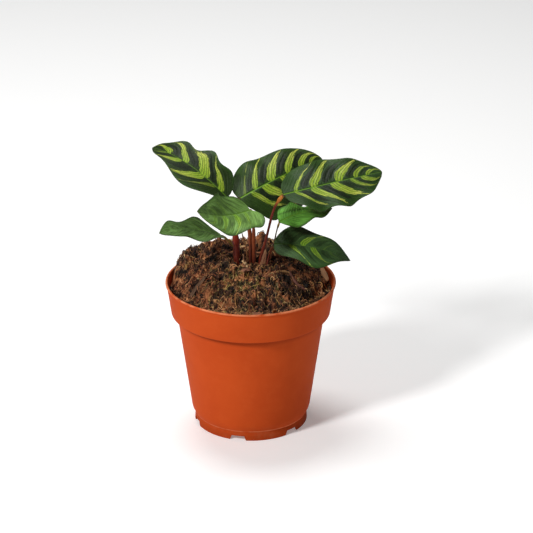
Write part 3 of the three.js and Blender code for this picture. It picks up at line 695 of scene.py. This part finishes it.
leaves = {
    "leaf_upper_left": {
        "base": (-14.5, 4, 150.5), "tip": (-62.5, 39.5, 170.5), "arch": 10, "bow": -3,
        "roll": 15, "twist": 13, "left": 15.7, "right": 16, "leftFold": 11, "rightFold": 14,
        "droop": 0, "outline": (0.45, 0.78), "ruffle": (2, 1.33, 0),
        "leftLobes": (0.13, 1.17, -0.14), "rightLobes": (0.13, 3.3, -0.08),
        "leftStreaks": [(0.16, 0.035, 0.75, 0.45), (0.31, 0.065, 0.92, 1), (0.6, 0.055, 0.95, 1),
                        (0.8, 0.03, 0.7, 0.5)],
        "rightStreaks": [(0.09, 0.05, 0.92, 1), (0.30, 0.085, 0.97, 1), (0.54, 0.055, 0.97, 1),
                         (0.76, 0.05, 0.92, 0.9)],
        "leftBlotches": [(0.22, 0.05, 0.7, 0.8), (0.45, 0.075, 0.86, 1), (0.71, 0.05, 0.8, 0.9)],
        "rightBlotches": [(0.19, 0.065, 0.88, 1), (0.43, 0.075, 0.9, 1), (0.66, 0.06, 0.85, 1),
                          (0.87, 0.05, 0.7, 0.7)],
        "baseColour": shade(40, 58, 24), "midrib": 0.55, "plain": 0.0},
    "leaf_centre_back": {
        "base": (-7, 4, 150), "tip": (45.5, 45.5, 160.5), "arch": 2.6, "bow": -0.7,
        "roll": -44, "twist": -37, "left": 20.7, "right": 21, "leftFold": -2, "rightFold": -3,
        "droop": 5.7, "outline": (0.46, 0.7), "ruffle": (2, 2.7, 0.22),
        "leftLobes": (0.08, 1.33, 0), "rightLobes": (0.13, 2.6, -0.31),
        "leftStreaks": [(0.07, 0.02, 0.7, 0.35), (0.2, 0.035, 0.88, 0.95), (0.39, 0.06, 0.96, 1),
                        (0.585, 0.05, 0.97, 1), (0.74, 0.04, 0.95, 1), (0.86, 0.03, 0.9, 0.9)],
        "rightStreaks": [(0.14, 0.035, 0.93, 0.8), (0.29, 0.06, 0.95, 1), (0.5, 0.05, 0.9, 1),
                         (0.7, 0.04, 0.9, 1)],
        "leftBlotches": [(0.13, 0.04, 0.75, 0.8), (0.29, 0.06, 0.8, 1), (0.49, 0.065, 0.86, 1),
                         (0.67, 0.05, 0.85, 1), (0.81, 0.035, 0.8, 0.9)],
        "rightBlotches": [(0.22, 0.06, 0.85, 1), (0.4, 0.06, 0.85, 1), (0.6, 0.06, 0.85, 1)],
        "baseColour": shade(42, 66, 24), "midrib": 1.0, "plain": 0.0},
    "leaf_right_front": {
        "base": (20.5, -4, 156), "tip": (83, 24.5, 160), "arch": 0.9, "bow": 0.3,
        "roll": -26.5, "twist": -17, "left": 20.7, "right": 20.9, "leftFold": 6, "rightFold": 5.7,
        "droop": 2.2, "outline": (0.46, 0.68), "ruffle": (1.8, 2.9, -0.06),
        "leftLobes": (0.07, 3.2, -0.39), "rightLobes": (0.08, 3.3, -0.44),
        "leftStreaks": [(0.13, 0.028, 0.85, 0.9), (0.31, 0.055, 0.95, 1), (0.56, 0.06, 0.95, 1),
                        (0.73, 0.03, 0.8, 0.8), (0.85, 0.03, 0.85, 0.8)],
        "rightStreaks": [(0.12, 0.026, 0.9, 0.9), (0.29, 0.05, 0.93, 1), (0.5, 0.065, 0.93, 1),
                         (0.68, 0.03, 0.85, 0.7), (0.8, 0.04, 0.8, 0.8)],
        "leftBlotches": [(0.21, 0.055, 0.85, 1), (0.43, 0.07, 0.85, 1), (0.66, 0.05, 0.8, 0.9),
                         (0.79, 0.03, 0.7, 0.7)],
        "rightBlotches": [(0.19, 0.055, 0.8, 1), (0.4, 0.07, 0.85, 1), (0.6, 0.05, 0.8, 0.8),
                          (0.74, 0.035, 0.75, 0.7)],
        "baseColour": shade(40, 68, 26), "midrib": 0.95, "plain": 0.0},
    "leaf_centre_front": {
        "base": (0, -12, 149), "tip": (-32, -52.5, 164.8), "arch": -2.7, "bow": -1.8,
        "roll": 35, "twist": 48, "left": 20, "right": 14, "leftFold": 11, "rightFold": 14,
        "droop": -0.5, "outline": (0.38, 0.72), "ruffle": (2, 2.1, 0.17),
        "leftLobes": (0.08, 1.4, 0.16), "rightLobes": (0.14, 0.85, 0),
        "leftStreaks": [(0.13, 0.03, 0.75, 0.6), (0.3, 0.045, 0.85, 0.9), (0.5, 0.04, 0.8, 0.7),
                        (0.68, 0.03, 0.8, 0.5)],
        "rightStreaks": [(0.2, 0.02, 0.7, 0.3), (0.42, 0.025, 0.75, 0.35), (0.62, 0.03, 0.7, 0.3)],
        "leftBlotches": [(0.21, 0.05, 0.7, 0.4), (0.4, 0.05, 0.75, 0.4), (0.6, 0.05, 0.7, 0.4)],
        "rightBlotches": [(0.3, 0.06, 0.7, 0.35), (0.52, 0.06, 0.7, 0.35)],
        "baseColour": shade(118, 158, 78), "midrib": 0.6, "plain": 0.45},
    "leaf_left_lower": {
        "base": (-18.2, -4, 128.3), "tip": (-56.5, -22, 137.5), "arch": -0.3, "bow": 6.7,
        "roll": 14, "twist": 18, "left": 12.3, "right": 12, "leftFold": 9.4, "rightFold": 9.7,
        "droop": 1.6, "outline": (0.3, 0.72), "ruffle": (1.7, 1.6, -0.17),
        "leftLobes": (0.13, 2.45, -0.53), "rightLobes": (0.13, 1.73, -0.14),
        "leftStreaks": [(0.35, 0.02, 0.7, 0.12), (0.6, 0.02, 0.7, 0.12)],
        "rightStreaks": [(0.3, 0.02, 0.7, 0.15), (0.55, 0.02, 0.7, 0.15)],
        "leftBlotches": [(0.25, 0.05, 0.8, 0.35), (0.5, 0.06, 0.8, 0.35)],
        "rightBlotches": [(0.25, 0.05, 0.8, 0.4), (0.5, 0.06, 0.8, 0.4)],
        "baseColour": shade(96, 132, 66), "midrib": 0.15, "plain": 0.6},
    "leaf_right_small": {
        "base": (18.1, -9, 139.6), "tip": (51.4, 13, 139.8), "arch": 0, "bow": -3.3,
        "roll": -11, "twist": 17, "left": 11.4, "right": 11.2, "leftFold": 9.3, "rightFold": 9,
        "droop": 1.8, "outline": (0.54, 0.74), "ruffle": (2, 1.93, 0.27),
        "leftLobes": (0.13, 2.94, -0.23), "rightLobes": (0.05, 2.5, 0.15),
        "leftStreaks": [(0.4, 0.02, 0.7, 0.1)], "rightStreaks": [(0.4, 0.02, 0.7, 0.1)],
        "leftBlotches": [(0.3, 0.05, 0.8, 0.2)], "rightBlotches": [(0.3, 0.05, 0.8, 0.15)],
        "baseColour": shade(106, 172, 64), "midrib": 0.8, "plain": 0.3},
    "leaf_right_lower": {
        "base": (14.5, -8, 124), "tip": (62.8, -4.2, 111.2), "arch": 6.7, "bow": 2.1,
        "roll": -23, "twist": 12.5, "left": 15.3, "right": 15.4, "leftFold": 6.5, "rightFold": 5.2,
        "droop": 1.3, "outline": (0.48, 0.82), "ruffle": (2, 1.38, -0.04),
        "leftLobes": (0.13, 1.53, -0.17), "rightLobes": (0.13, 1.42, 0.48),
        "leftStreaks": [(0.35, 0.05, 0.75, 0.85), (0.62, 0.02, 0.7, 0.15)],
        "rightStreaks": [(0.2, 0.04, 0.75, 0.85), (0.47, 0.045, 0.75, 0.85), (0.7, 0.02, 0.7, 0.2)],
        "leftBlotches": [(0.2, 0.05, 0.8, 0.5), (0.5, 0.06, 0.8, 0.6)],
        "rightBlotches": [(0.33, 0.05, 0.8, 0.6), (0.6, 0.05, 0.8, 0.5)],
        "baseColour": shade(70, 102, 56), "midrib": 0.3, "plain": 0.3},
}
leafLook = {"lean": 0.28, "veins": 33, "quilt": 0.13, "quiltWaves": 16, "blotch": shade(13, 22, 13),
            "lime": shade(142, 174, 44), "yellow": shade(206, 212, 92),
            "rib": shade(104, 148, 36), "rim": shade(30, 52, 22), "under": shade(104, 42, 58),
            "underGreen": shade(96, 112, 78), "roughness": 0.4}


# Directions for a blade: its chord, then the level direction across it and the one that rises from it.
def bladeAxes(leaf):
    base, tip = np.array(leaf["base"], dtype=float), np.array(leaf["tip"], dtype=float)
    along = unit(tip - base)
    side = unit(np.cross(along, (0, 0, 1)))
    return base, tip - base, side, np.cross(side, along)


# The two directions turned about the chord by an angle in degrees.
def turned(side, rise, degrees):
    angle = np.radians(np.asarray(degrees, dtype=float))[..., None]
    return side * np.cos(angle) + rise * np.sin(angle), rise * np.cos(angle) - side * np.sin(angle)


# The middle of the blade over shares u along it and v across it. Its chord is bent by arch and bow, its
# width is u^a (1-u)^b scaled to 1 and lobed, and it is folded, drooped and ruffled away from the midrib.
def bladePoints(leaf, u, v):
    base, chord, side, rise = bladeAxes(leaf)
    chordSide, chordRise = turned(side, rise, leaf["roll"])
    across, outward = turned(side, rise, leaf["roll"] + leaf["twist"] * (u - 0.5))
    swell = (4 * u * (1 - u))[..., None]
    a, b = leaf["outline"]
    peak = a / (a + b)
    fullness = u**a * (1 - u) ** b / (peak**a * (1 - peak) ** b)
    isLeft = v < 0
    pick = lambda low, high: np.where(isLeft, low, high)
    lobes = [leaf["leftLobes"], leaf["rightLobes"]]
    share, waves, phase = (pick(lobes[0][i], lobes[1][i]) for i in range(3))
    width = pick(leaf["left"], leaf["right"]) * fullness * (1 + share * np.sin(tau * (waves * u + phase)))
    reach = v * np.maximum(width, 0.35)
    fold = np.radians(pick(leaf["leftFold"], leaf["rightFold"]))
    height, waves, phase = leaf["ruffle"]
    ruffle = height * fullness * np.abs(v) ** 1.5 * np.sin(tau * (waves * u + phase) + pick(1.7, 0))
    place = u - leafLook["lean"] * np.abs(v) ** 1.5
    quilt = leafLook["quilt"] * np.sin(tau * place * leafLook["quiltWaves"]) * fullness \
        * smooth(0.04, 0.3, np.abs(v)) * smooth(1.0, 0.8, np.abs(v))
    lift = np.abs(reach) * np.sin(fold) - leaf["droop"] * v**2 * fullness + ruffle + quilt
    middle = base + chord * u[..., None] + swell * (leaf["arch"] * chordRise + leaf["bow"] * chordSide)
    points = middle + (reach * np.cos(fold))[..., None] * across + lift[..., None] * outward
    return points, np.abs(reach)


# The top and the underside lie half a thickness either side of the middle; the midrib is a shallow groove
# on top and a round ridge below.
def makeBlade(name, leaf, finish, slot, thickness=0.35, rib=1.0, rows=140, columns=73):
    u, v = np.meshgrid(np.linspace(0, 1, rows), np.linspace(-1, 1, columns), indexing="ij")
    v = np.sign(v) * np.abs(v) ** 1.15
    points, reach = bladePoints(leaf, u, v)
    normal = unit(np.cross(np.gradient(points, axis=1), np.gradient(points, axis=0)))
    upward = bladeAxes(leaf)[3]
    normal = normal * np.sign((normal * upward).sum(-1, keepdims=True).mean())
    half = thickness / 2 * np.sqrt(np.clip(1 - 0.85 * v**8, 0, 1))
    slim = np.clip(1.2 - u, 0.2, 1) * rib
    groove = 0.28 * slim * np.exp(-((reach / 0.45) ** 2))
    ridge = 0.6 * slim * np.exp(-((reach / 0.6) ** 2))
    top = points + (half - groove)[..., None] * normal
    under = points - (half + ridge)[..., None] * normal
    rings = np.concatenate([top, under[:, ::-1]], axis=1)
    uv = np.stack([u, (v + 1) / 2], axis=-1)
    uv = np.concatenate([uv, uv[:, ::-1]], axis=1)
    tone = np.concatenate([np.ones(columns), np.zeros(columns)])
    tone = np.concatenate([np.tile(tone, rows), [0.5, 0.5]])
    piece = ringPiece(name + "_fine", rings * mm, finish, uv, tone)
    layer = piece.data.attributes.new("reach", "FLOAT", "POINT")
    reach = np.concatenate([reach, reach[:, ::-1]], axis=1).ravel()
    layer.data.foreach_set("value", np.concatenate([reach, [0, 0]]).astype(np.float32))
    placed(piece, slot, name)


# A ramp along the leaf. Each mark is a peak in red, with its outer end in green and its strength in blue.
def markRamp(finish, place, marks):
    stops = [(0.0, (0, marks[0][2], marks[0][3], 1))]
    for centre, halfWidth, outer, strength in marks:
        spots = ((centre - halfWidth, 0), (centre, 1), (centre + halfWidth, 0))
        stops += [((spot + 0.3) / 1.3, (peak, outer, strength, 1)) for spot, peak in spots]
    colour = finish.ramp(place, stops)
    return [finish.node("SeparateColor", None, {"Color": colour}, part) for part in ("Red", "Green", "Blue")]


# Where the marks of one side show: each is widest about a third of the way out and tapers to a ragged end.
def markMask(finish, place, away, marks, ragged, inner, soft):
    peak, outer, strength = markRamp(finish, place, marks)
    reach = ((away - inner) / (outer - inner)).math("MAXIMUM", 0.001).math("MINIMUM", 0.999)
    taper = (reach ** 0.62 * math.pi).math("SINE").math("MAXIMUM", 0) ** 1.05
    near = (peak * 3).math("MINIMUM", 1)
    return finish.step(peak * 1.12 + taper - 1 + ragged * near * (0.3 + reach * 0.7), 0, soft) * strength


# The top: green ground, dark blotches, lime streaks cut by veins, midrib and rim. The underside: purple.
def leafFinish(name, leaf):
    look = leafLook
    finish = Finish(name)
    u, y = finish.alongAcross()
    across = y * 2 - 1
    away = across.math("ABSOLUTE")
    q = u - away**1.5 * look["lean"]
    wobble = finish.noise(1, 2, 0.5, finish.vector(u * 9, across * 3))
    q = q + (wobble - 0.5) * 0.03
    place = (q + 0.3) / 1.3
    isRight = finish.step(across, -0.001, 0.001)
    strokes = finish.noise(1, 2, 0.6, finish.vector(q * 75, across * 5))
    flecks = finish.noise(1, 1, 0.5, finish.vector(q * 190, across * 13, 4.0))
    ragged = (strokes - 0.5) * 1.5 + (flecks - 0.5) * 0.9
    streaks, blotches = (
        finish.mix(isRight, *(markMask(finish, place, away, leaf[side + kind], ragged, inner, soft)
                              for side in ("left", "right")))
        for kind, inner, soft in (("Streaks", -0.04, 0.16), ("Blotches", 0.05, 0.35)))
    veins = (1 - (q * (look["veins"] * math.pi)).math("SINE").math("ABSOLUTE")) ** 3
    cells = finish.node("TexVoronoi", {"feature": "DISTANCE_TO_EDGE"},
                        {"Scale": 1.0, "Vector": finish.vector(q * 110, across * 26)}, "Distance")
    net = finish.step(cells, 0.11, 0.0)
    cloud = finish.noise(95, 3, 0.6)
    fine = finish.noise(1500, 2, 0.6)
    base = leaf["baseColour"]
    colour = finish.mix(finish.step(cloud + (strokes - 0.5) * 0.5, 0.25, 0.75), scaled(base, 0.62), base)
    # Painted sheen and painted shade for the plainer leaves: pale and dark bands along the veins from one
    # noise, scaled by plain.
    fold = finish.noise(1, 3, 0.55, finish.vector(q * 15, across * 2.4, 7.0))
    colour = finish.mix(finish.step(fold, 0.49, 0.66) * leaf["plain"], colour, scaled(base, 1.5, 0.012))
    colour = finish.mix(finish.step(fold, 0.5, 0.34) * leaf["plain"], colour, scaled(base, 0.3))
    edge = finish.step(away + (cloud - 0.5) * 0.1, 0.8, 0.97)
    colour = finish.mix(edge * 0.75, colour, shade(46, 76, 28))
    colour = finish.mix(blotches * 0.93, colour, look["blotch"])
    lime = finish.mix(finish.step(strokes + (away - 0.5) * 0.5, 0.25, 0.8), look["lime"], look["yellow"])
    lime = finish.mix(finish.step(strokes, 0.2, 0.6) * leaf["plain"], lime, shade(118, 204, 66))
    lime = finish.mix(finish.step(flecks, 0.46, 0.28) * 0.7, lime, shade(62, 92, 26))
    lime = finish.mix(veins * 0.95 + net * 0.4, lime, shade(34, 52, 16))
    colour = finish.mix(streaks, colour, lime)
    colour = finish.mix(veins * 0.3, colour, shade(22, 40, 14))
    reach = finish.attribute("reach")
    slim = 0.55 - u * 0.35
    rib = finish.step(reach, slim, slim * 0.45) * leaf["midrib"] * (1 - u * 0.55)
    colour = finish.mix(rib, colour, look["rib"])
    rim = finish.step(away, 0.975, 0.992)
    colour = finish.mix(rim * 0.8, colour, look["rim"])
    colour = finish.mix(finish.step(fine, 0.4, 0.7) * 0.1, colour, shade(110, 136, 60))
    top = finish.attribute("tone")
    under = finish.mix(finish.step(streaks + rib, 0.1, 0.8) * 0.7, look["under"], look["underGreen"])
    under = finish.mix(veins * 0.4, under, shade(66, 24, 38))
    colour = finish.mix(finish.step(top, 0.4, 0.6), under, colour)
    roughness = look["roughness"] + (fine - 0.5) * 0.12 + blotches * 0.05
    relief = veins * -0.6 + net * -0.12 + fine * 0.25 + cloud * 0.4
    return finish.done(colour, roughness, relief, 0.00025, 0.55, 0.16)


for name, leaf in leaves.items():
    makeBlade(name, leaf, leafFinish(name, leaf), "leaf_blade")
print("leaves made")


# Stalks
# foot, neck and pulvinus are radii; sheathTop is the height where the foot's sheath ends.

stalks = {
    "petiole_upper_left": {
        "points": [(-7, 0, 100), (-8.5, 1, 110), (-9.3, 2.5, 122), (-11, 4, 134), (-13, 4, 145)],
        "leaf": "leaf_upper_left", "foot": 2.2, "neck": 0.95, "pulvinus": 1.3, "sheathTop": 129,
        "colours": [shade(88, 22, 12), shade(122, 32, 18), shade(132, 44, 24), shade(120, 72, 34)]},
    "petiole_centre_back": {
        "points": [(0, -1.2, 100), (0, -1.2, 110), (-0.1, 0.2, 122), (-1.8, 5, 133), (-6, 8.4, 143)],
        "leaf": "leaf_centre_back", "foot": 1.35, "neck": 0.9, "pulvinus": 1.2, "sheathTop": 136,
        "colours": [shade(70, 24, 12), shade(118, 54, 24), shade(132, 66, 30), shade(112, 86, 40)]},
    "petiole_right_front": {
        "points": [(5.4, -2, 100), (6.2, -2, 111), (8.4, -2, 120), (11, -3, 131), (13.2, -4, 141),
                   (16, -5, 149.5)],
        "leaf": "leaf_right_front", "foot": 1.1, "neck": 0.8, "pulvinus": 1.3, "sheathTop": 125,
        "colours": [shade(96, 34, 18), shade(116, 36, 20), shade(96, 26, 16), shade(196, 122, 44)]},
    "petiole_centre_front": {
        "points": [(2.1, -3.4, 100), (2.1, -3.5, 110), (2, -3.9, 122), (1.9, -5.9, 134), (1.4, -9.2, 144)],
        "leaf": "leaf_centre_front", "foot": 1.15, "neck": 0.75, "pulvinus": 1.1, "sheathTop": 136,
        "colours": [shade(84, 30, 14), shade(132, 62, 28), shade(108, 44, 20), shade(196, 104, 36)]},
    "petiole_left_lower": {
        "points": [(-7.4, 5.6, 100), (-8.6, 5.8, 110), (-10.6, 5, 116.5), (-14, 1.6, 122.6)],
        "leaf": "leaf_left_lower", "foot": 0.75, "neck": 0.6, "pulvinus": 0.85, "sheathTop": 112,
        "colours": [shade(96, 62, 32), shade(140, 118, 56), shade(150, 132, 62), shade(116, 118, 54)]},
    "petiole_right_small": {
        "points": [(11.4, 2, 100), (12.6, 1.4, 111), (14.7, -0.8, 121.4), (16.3, -5, 131.5)],
        "leaf": "leaf_right_small", "foot": 0.6, "neck": 0.42, "pulvinus": 0.7, "sheathTop": 112,
        "colours": [shade(84, 48, 30), shade(96, 66, 36), shade(84, 72, 36), shade(148, 128, 52)]},
    "petiole_right_lower": {
        "points": [(9.4, -4.6, 100), (10.4, -5, 110), (11.9, -5.4, 116.5)],
        "leaf": "leaf_right_lower", "foot": 0.8, "neck": 0.6, "pulvinus": 0.95, "sheathTop": 112,
        "colours": [shade(78, 30, 20), shade(104, 42, 28), shade(98, 52, 32), shade(84, 66, 40)]},
    "new_shoot": {
        "points": [(-3.2, 0.6, 100), (-2.2, 0.2, 110), (-2.9, 0, 118.7), (-4.5, 0, 124.2), (-6, 0, 131)],
        "leaf": None, "foot": 0.55, "neck": 0.45, "pulvinus": 0.45, "sheathTop": 112,
        "colours": [shade(96, 60, 36), shade(112, 76, 44), shade(104, 80, 46), shade(92, 88, 46)]},
}


pulvinusLength = 6


# Colours climb a ramp from foot to top, streaked lengthwise, with a dark joint under the blade.
def stalkFinish(name, stalk):
    finish = Finish(name)
    u = finish.node("SeparateXYZ", None, {"Vector": finish.coordinates("UV")}, "X")
    streaks = finish.noise(1, 3, 0.6, finish.stretched((2600, 2600, 170)))
    speck = finish.noise(2200, 2, 0.6)
    patch = finish.noise(260, 3, 0.6)
    stops = list(zip((0.25, 0.5, 0.85, 0.97), stalk["colours"]))
    colour = finish.ramp(u + (patch - 0.5) * 0.16, stops)
    colour = finish.mix(finish.step(streaks, 0.5, 0.75) * 0.5, colour, shade(168, 86, 42))
    colour = finish.mix(finish.step(streaks, 0.5, 0.3) * 0.7, colour, shade(40, 12, 8))
    joint = finish.step(u, 0.975, 0.99)
    colour = finish.mix(joint * 0.8, colour, shade(52, 26, 20))
    roughness = 0.45 + (speck - 0.5) * 0.2
    return finish.done(colour, roughness, streaks * 0.7 + speck * 0.3, 0.00022, 0.6, 0.2)


# A stalk is a tube along its curve. Its radius eases from foot to neck under the sheath's top and swells
# at the pulvinus; a groove runs up the side that faces its leaf, and the sheath's edge stands proud.
def makeStalk(name, stalk):
    points = list(stalk["points"])
    if stalk["leaf"]:
        points.append(leaves[stalk["leaf"]]["base"])
    path, length = curveThrough(points, 90)
    climb = smooth(stalk["sheathTop"] + 1.5, stalk["sheathTop"] - 7, path[:, 2])
    u = np.linspace(0, 1, len(path))
    fromTop = (1 - u) * length
    swollen = np.where(fromTop < pulvinusLength, np.sin(np.pi * fromTop / pulvinusLength), 0)
    bump = swollen if stalk["leaf"] else np.zeros(len(path))
    neck = stalk["neck"]
    radius = neck + (stalk["foot"] - neck) * climb + (stalk["pulvinus"] - neck) * bump
    if not stalk["leaf"]:
        radius = radius * (1 - 0.75 * smooth(0.8, 1, u))
    angles = np.arange(28) * tau / 28
    across, above = pathAxes(path)
    groove = 1 - 0.2 * np.exp(-(((angles - 4.2) / 0.55) ** 2)) * (1 - 0.7 * bump)[:, None]
    edge = np.exp(-(((angles - 1.3) / 0.3) ** 2)) + 0.5 * np.cos(3 * angles + u[:, None] * 6)
    fold = 1 + 0.12 * climb[:, None] * edge
    wave = 1 + 0.05 * np.sin(u[:, None] * 31 + 2 * angles) + 0.03 * np.sin(u[:, None] * 83 + angles)
    spread = (radius[:, None] * groove * fold * wave)[..., None]
    outward = np.cos(angles)[:, None] * across[:, None] + np.sin(angles)[:, None] * above[:, None]
    rings = path[:, None] + spread * outward
    uv = np.stack(np.broadcast_arrays(u[:, None], angles / tau), axis=-1)
    piece = ringPiece(name + "_fine", rings * mm, stalkFinish(name, stalk), uv)
    placed(piece, "stalk", name)


for name, stalk in stalks.items():
    makeStalk(name, stalk)
print("stalks made")


# Dry sheaths, thin curled scales at the feet of the stalks

sheaths = {
    "dry_sheath_front": {
        "base": (6.4, -5.2, 105), "tip": (9.4, -7.4, 120), "left": 1.7, "right": 1.7, "roll": 75},
    "dry_sheath_right": {
        "base": (9.6, 0, 105), "tip": (11.2, 3.6, 127), "left": 1.5, "right": 1.5, "roll": 70},
    "dry_sheath_left": {
        "base": (-4.4, -3.2, 105), "tip": (-4.9, -4.8, 116), "left": 1.5, "right": 1.4, "roll": 80},
}
sheathShape = {"arch": 0.5, "bow": 0, "twist": 10, "leftFold": 20, "rightFold": 20, "droop": 0,
               "outline": (0.3, 0.6), "ruffle": (0.2, 1, 0), "leftLobes": (0, 1, 0), "rightLobes": (0, 1, 0)}


def sheathFinish():
    finish = Finish("dry sheath")
    u, y = finish.alongAcross()
    fibres = finish.noise(1, 3, 0.6, finish.vector(u * 3, y * 34))
    patch = finish.noise(420, 3, 0.6)
    colour = finish.mix(finish.step(fibres, 0.3, 0.7), shade(104, 56, 36), shade(164, 116, 78))
    colour = finish.mix(finish.step(patch, 0.45, 0.7) * 0.7, colour, shade(84, 34, 26))
    colour = finish.mix(finish.step(u, 0.75, 1.0) * 0.6, colour, shade(186, 146, 100))
    return finish.done(colour, 0.66 + (patch - 0.5) * 0.2, fibres, 0.0003, 0.8)


sheathMaterial = sheathFinish()
for name, size in sheaths.items():
    makeBlade(name, {**sheathShape, **size}, sheathMaterial, "dry_sheath", 0.3, 0.3, 60, 31)
print("sheaths made")


# Splinters: bits of bark, wood and root
# size is [length, width, thickness], place is [x, y], turn is the compass bearing, rise is how far the far
# end stands above the soil and bend curves the piece sideways.

splinters = {
    "wood_chip_right": {"size": (22, 3.2, 1.2), "place": (45.2, 13.5), "turn": -72, "rise": 1.5, "bend": 0.5,
                        "colour": shade(184, 134, 88), "seed": 21},
    "wood_chip_back": {"size": (8, 2.8, 1.0), "place": (-6, 22), "turn": 40, "rise": 1.0, "bend": 0.4,
                       "colour": shade(200, 162, 112), "seed": 22},
    "wood_chip_front": {"size": (9, 2.2, 1.0), "place": (14.5, -38), "turn": -84, "rise": 4.5, "bend": 0.3,
                        "colour": shade(176, 130, 84), "seed": 23},
    "wood_chip_left": {"size": (11, 3.4, 1.1), "place": (-33, -14), "turn": 24, "rise": 0.6, "bend": 0.8,
                       "colour": shade(96, 66, 42), "seed": 24},
    "pale_root": {"size": (13, 1.9, 1.7), "place": (19.5, -45.5), "turn": 4, "rise": 0.4, "bend": 1.2,
                  "colour": shade(206, 164, 112), "seed": 25},
    "root_by_stalks": {"size": (11, 1.3, 1.2), "place": (21, -9), "turn": 16, "rise": 0.6, "bend": 1.0,
                       "colour": shade(168, 124, 76), "seed": 26},
    "twig_right": {"size": (13, 1.6, 1.4), "place": (30, -12), "turn": -34, "rise": 0.3, "bend": -1.2,
                   "colour": shade(110, 66, 52), "seed": 27},
    "sliver_by_stalks": {"size": (6.5, 1.7, 0.8), "place": (-3.4, -5.5), "turn": 122, "rise": 1.6,
                         "bend": 0.3, "colour": shade(206, 170, 122), "seed": 28},
    "flake_front": {"size": (7, 3.6, 1.2), "place": (4, -41), "turn": -12, "rise": 0.8, "bend": 0.5,
                    "colour": shade(150, 96, 68), "seed": 29},
    "flake_middle": {"size": (6, 3.0, 1.0), "place": (-3, -12), "turn": 20, "rise": 1.0, "bend": 0.4,
                     "colour": shade(128, 80, 56), "seed": 30},
}


splinterLook = {"lift": 0.8, "along": 36, "around": 18}


def splinterFinish(name, colour):
    finish = Finish(name)
    u, y = finish.alongAcross()
    grain = finish.noise(1, 4, 0.65, finish.vector(u * 4, y * 30))
    patch = finish.noise(500, 4, 0.6)
    dark = scaled(colour, 0.4)
    shown = finish.mix(finish.step(grain, 0.5, 0.25), colour, dark)
    shown = finish.mix(finish.step(patch, 0.52, 0.75) * 0.7, shown, dark)
    return finish.done(shown, 0.72 + (patch - 0.5) * 0.2, grain * 0.7 + patch * 0.3, 0.0004, 0.8)


# A flattened bar along a bent line that follows the soil, with a rough section and broken ends.
def makeSplinter(name, bit):
    random = np.random.default_rng(bit["seed"])
    length, width, thickness = bit["size"]
    along, around = splinterLook["along"], splinterLook["around"]
    turn = math.radians(bit["turn"])
    ahead = np.array([math.cos(turn), math.sin(turn)])
    aside = np.array([-math.sin(turn), math.cos(turn)])
    t = np.linspace(-0.5, 0.5, along)
    bow = bit["bend"] * (1 - 4 * t**2)
    flat = np.array(bit["place"]) + t[:, None] * length * ahead + bow[:, None] * aside
    away = np.maximum(np.linalg.norm(flat, axis=1), 1)
    flat *= np.minimum(1, (soil["barkLimit"] - width / 2) / away)[:, None]
    ground = soilTop(flat[:, 0], flat[:, 1])
    line = np.polyval(np.polyfit(t, ground, 2), t)
    z = line + thickness * 0.55 + bit["rise"] * (t + 0.5) ** 2 + splinterLook["lift"]
    path = np.concatenate([flat, z[:, None]], axis=1)
    across, above = pathAxes(path, (0, 0, 1))
    angles = np.arange(around) * tau / around
    square = (np.abs(np.cos(angles)) ** 4 + np.abs(np.sin(angles)) ** 4) ** -0.25
    ends = np.clip(1.02 - np.abs(2 * t) ** 9, 0.12, 1)[:, None]
    rough = 1 + 0.16 * (random.random((along, around)) - 0.5) \
        + 0.18 * np.sin(angles * 3 + t[:, None] * 7 + bit["seed"])
    side = (np.cos(angles) * square * rough * ends * width / 2)[..., None] * across[:, None]
    over = (np.sin(angles) * square * rough * ends * thickness / 2)[..., None] * above[:, None]
    jog = (random.random((along, 1, 1)) - 0.5) * 0.08 * across[:, None]
    rings = path[:, None] + side + over + jog
    uv = np.stack(np.broadcast_arrays(t[:, None] + 0.5, angles / tau), axis=-1)
    piece = ringPiece(name + "_fine", rings * mm, splinterFinish(name, bit["colour"]), uv)
    placed(piece, "bark", *([name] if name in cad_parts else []))


for name, bit in splinters.items():
    makeSplinter(name, bit)
print("splinters made")


# The rhizome stays as packed, buried in the soil, with a finish of its own.
def rhizomeFinish():
    finish = Finish("rhizome")
    sockets = {"Scale": 160, "Distortion": 3, "Vector": finish.coordinates()}
    rings = finish.node("TexWave", {"bands_direction": "X"}, sockets, "Fac")
    patch = finish.noise(320, 4, 0.6)
    colour = finish.mix(finish.step(patch, 0.3, 0.7), shade(148, 112, 74), shade(92, 56, 36))
    colour = finish.mix(finish.step(rings, 0.7, 0.9) * 0.5, colour, shade(58, 34, 24))
    return finish.done(colour, 0.7 + (patch - 0.5) * 0.2, rings * 0.5 + patch * 0.5, 0.0004, 0.7)


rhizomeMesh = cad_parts["rhizome"].data
rhizomeMesh.materials.clear()
rhizomeMesh.materials.append(rhizomeFinish())
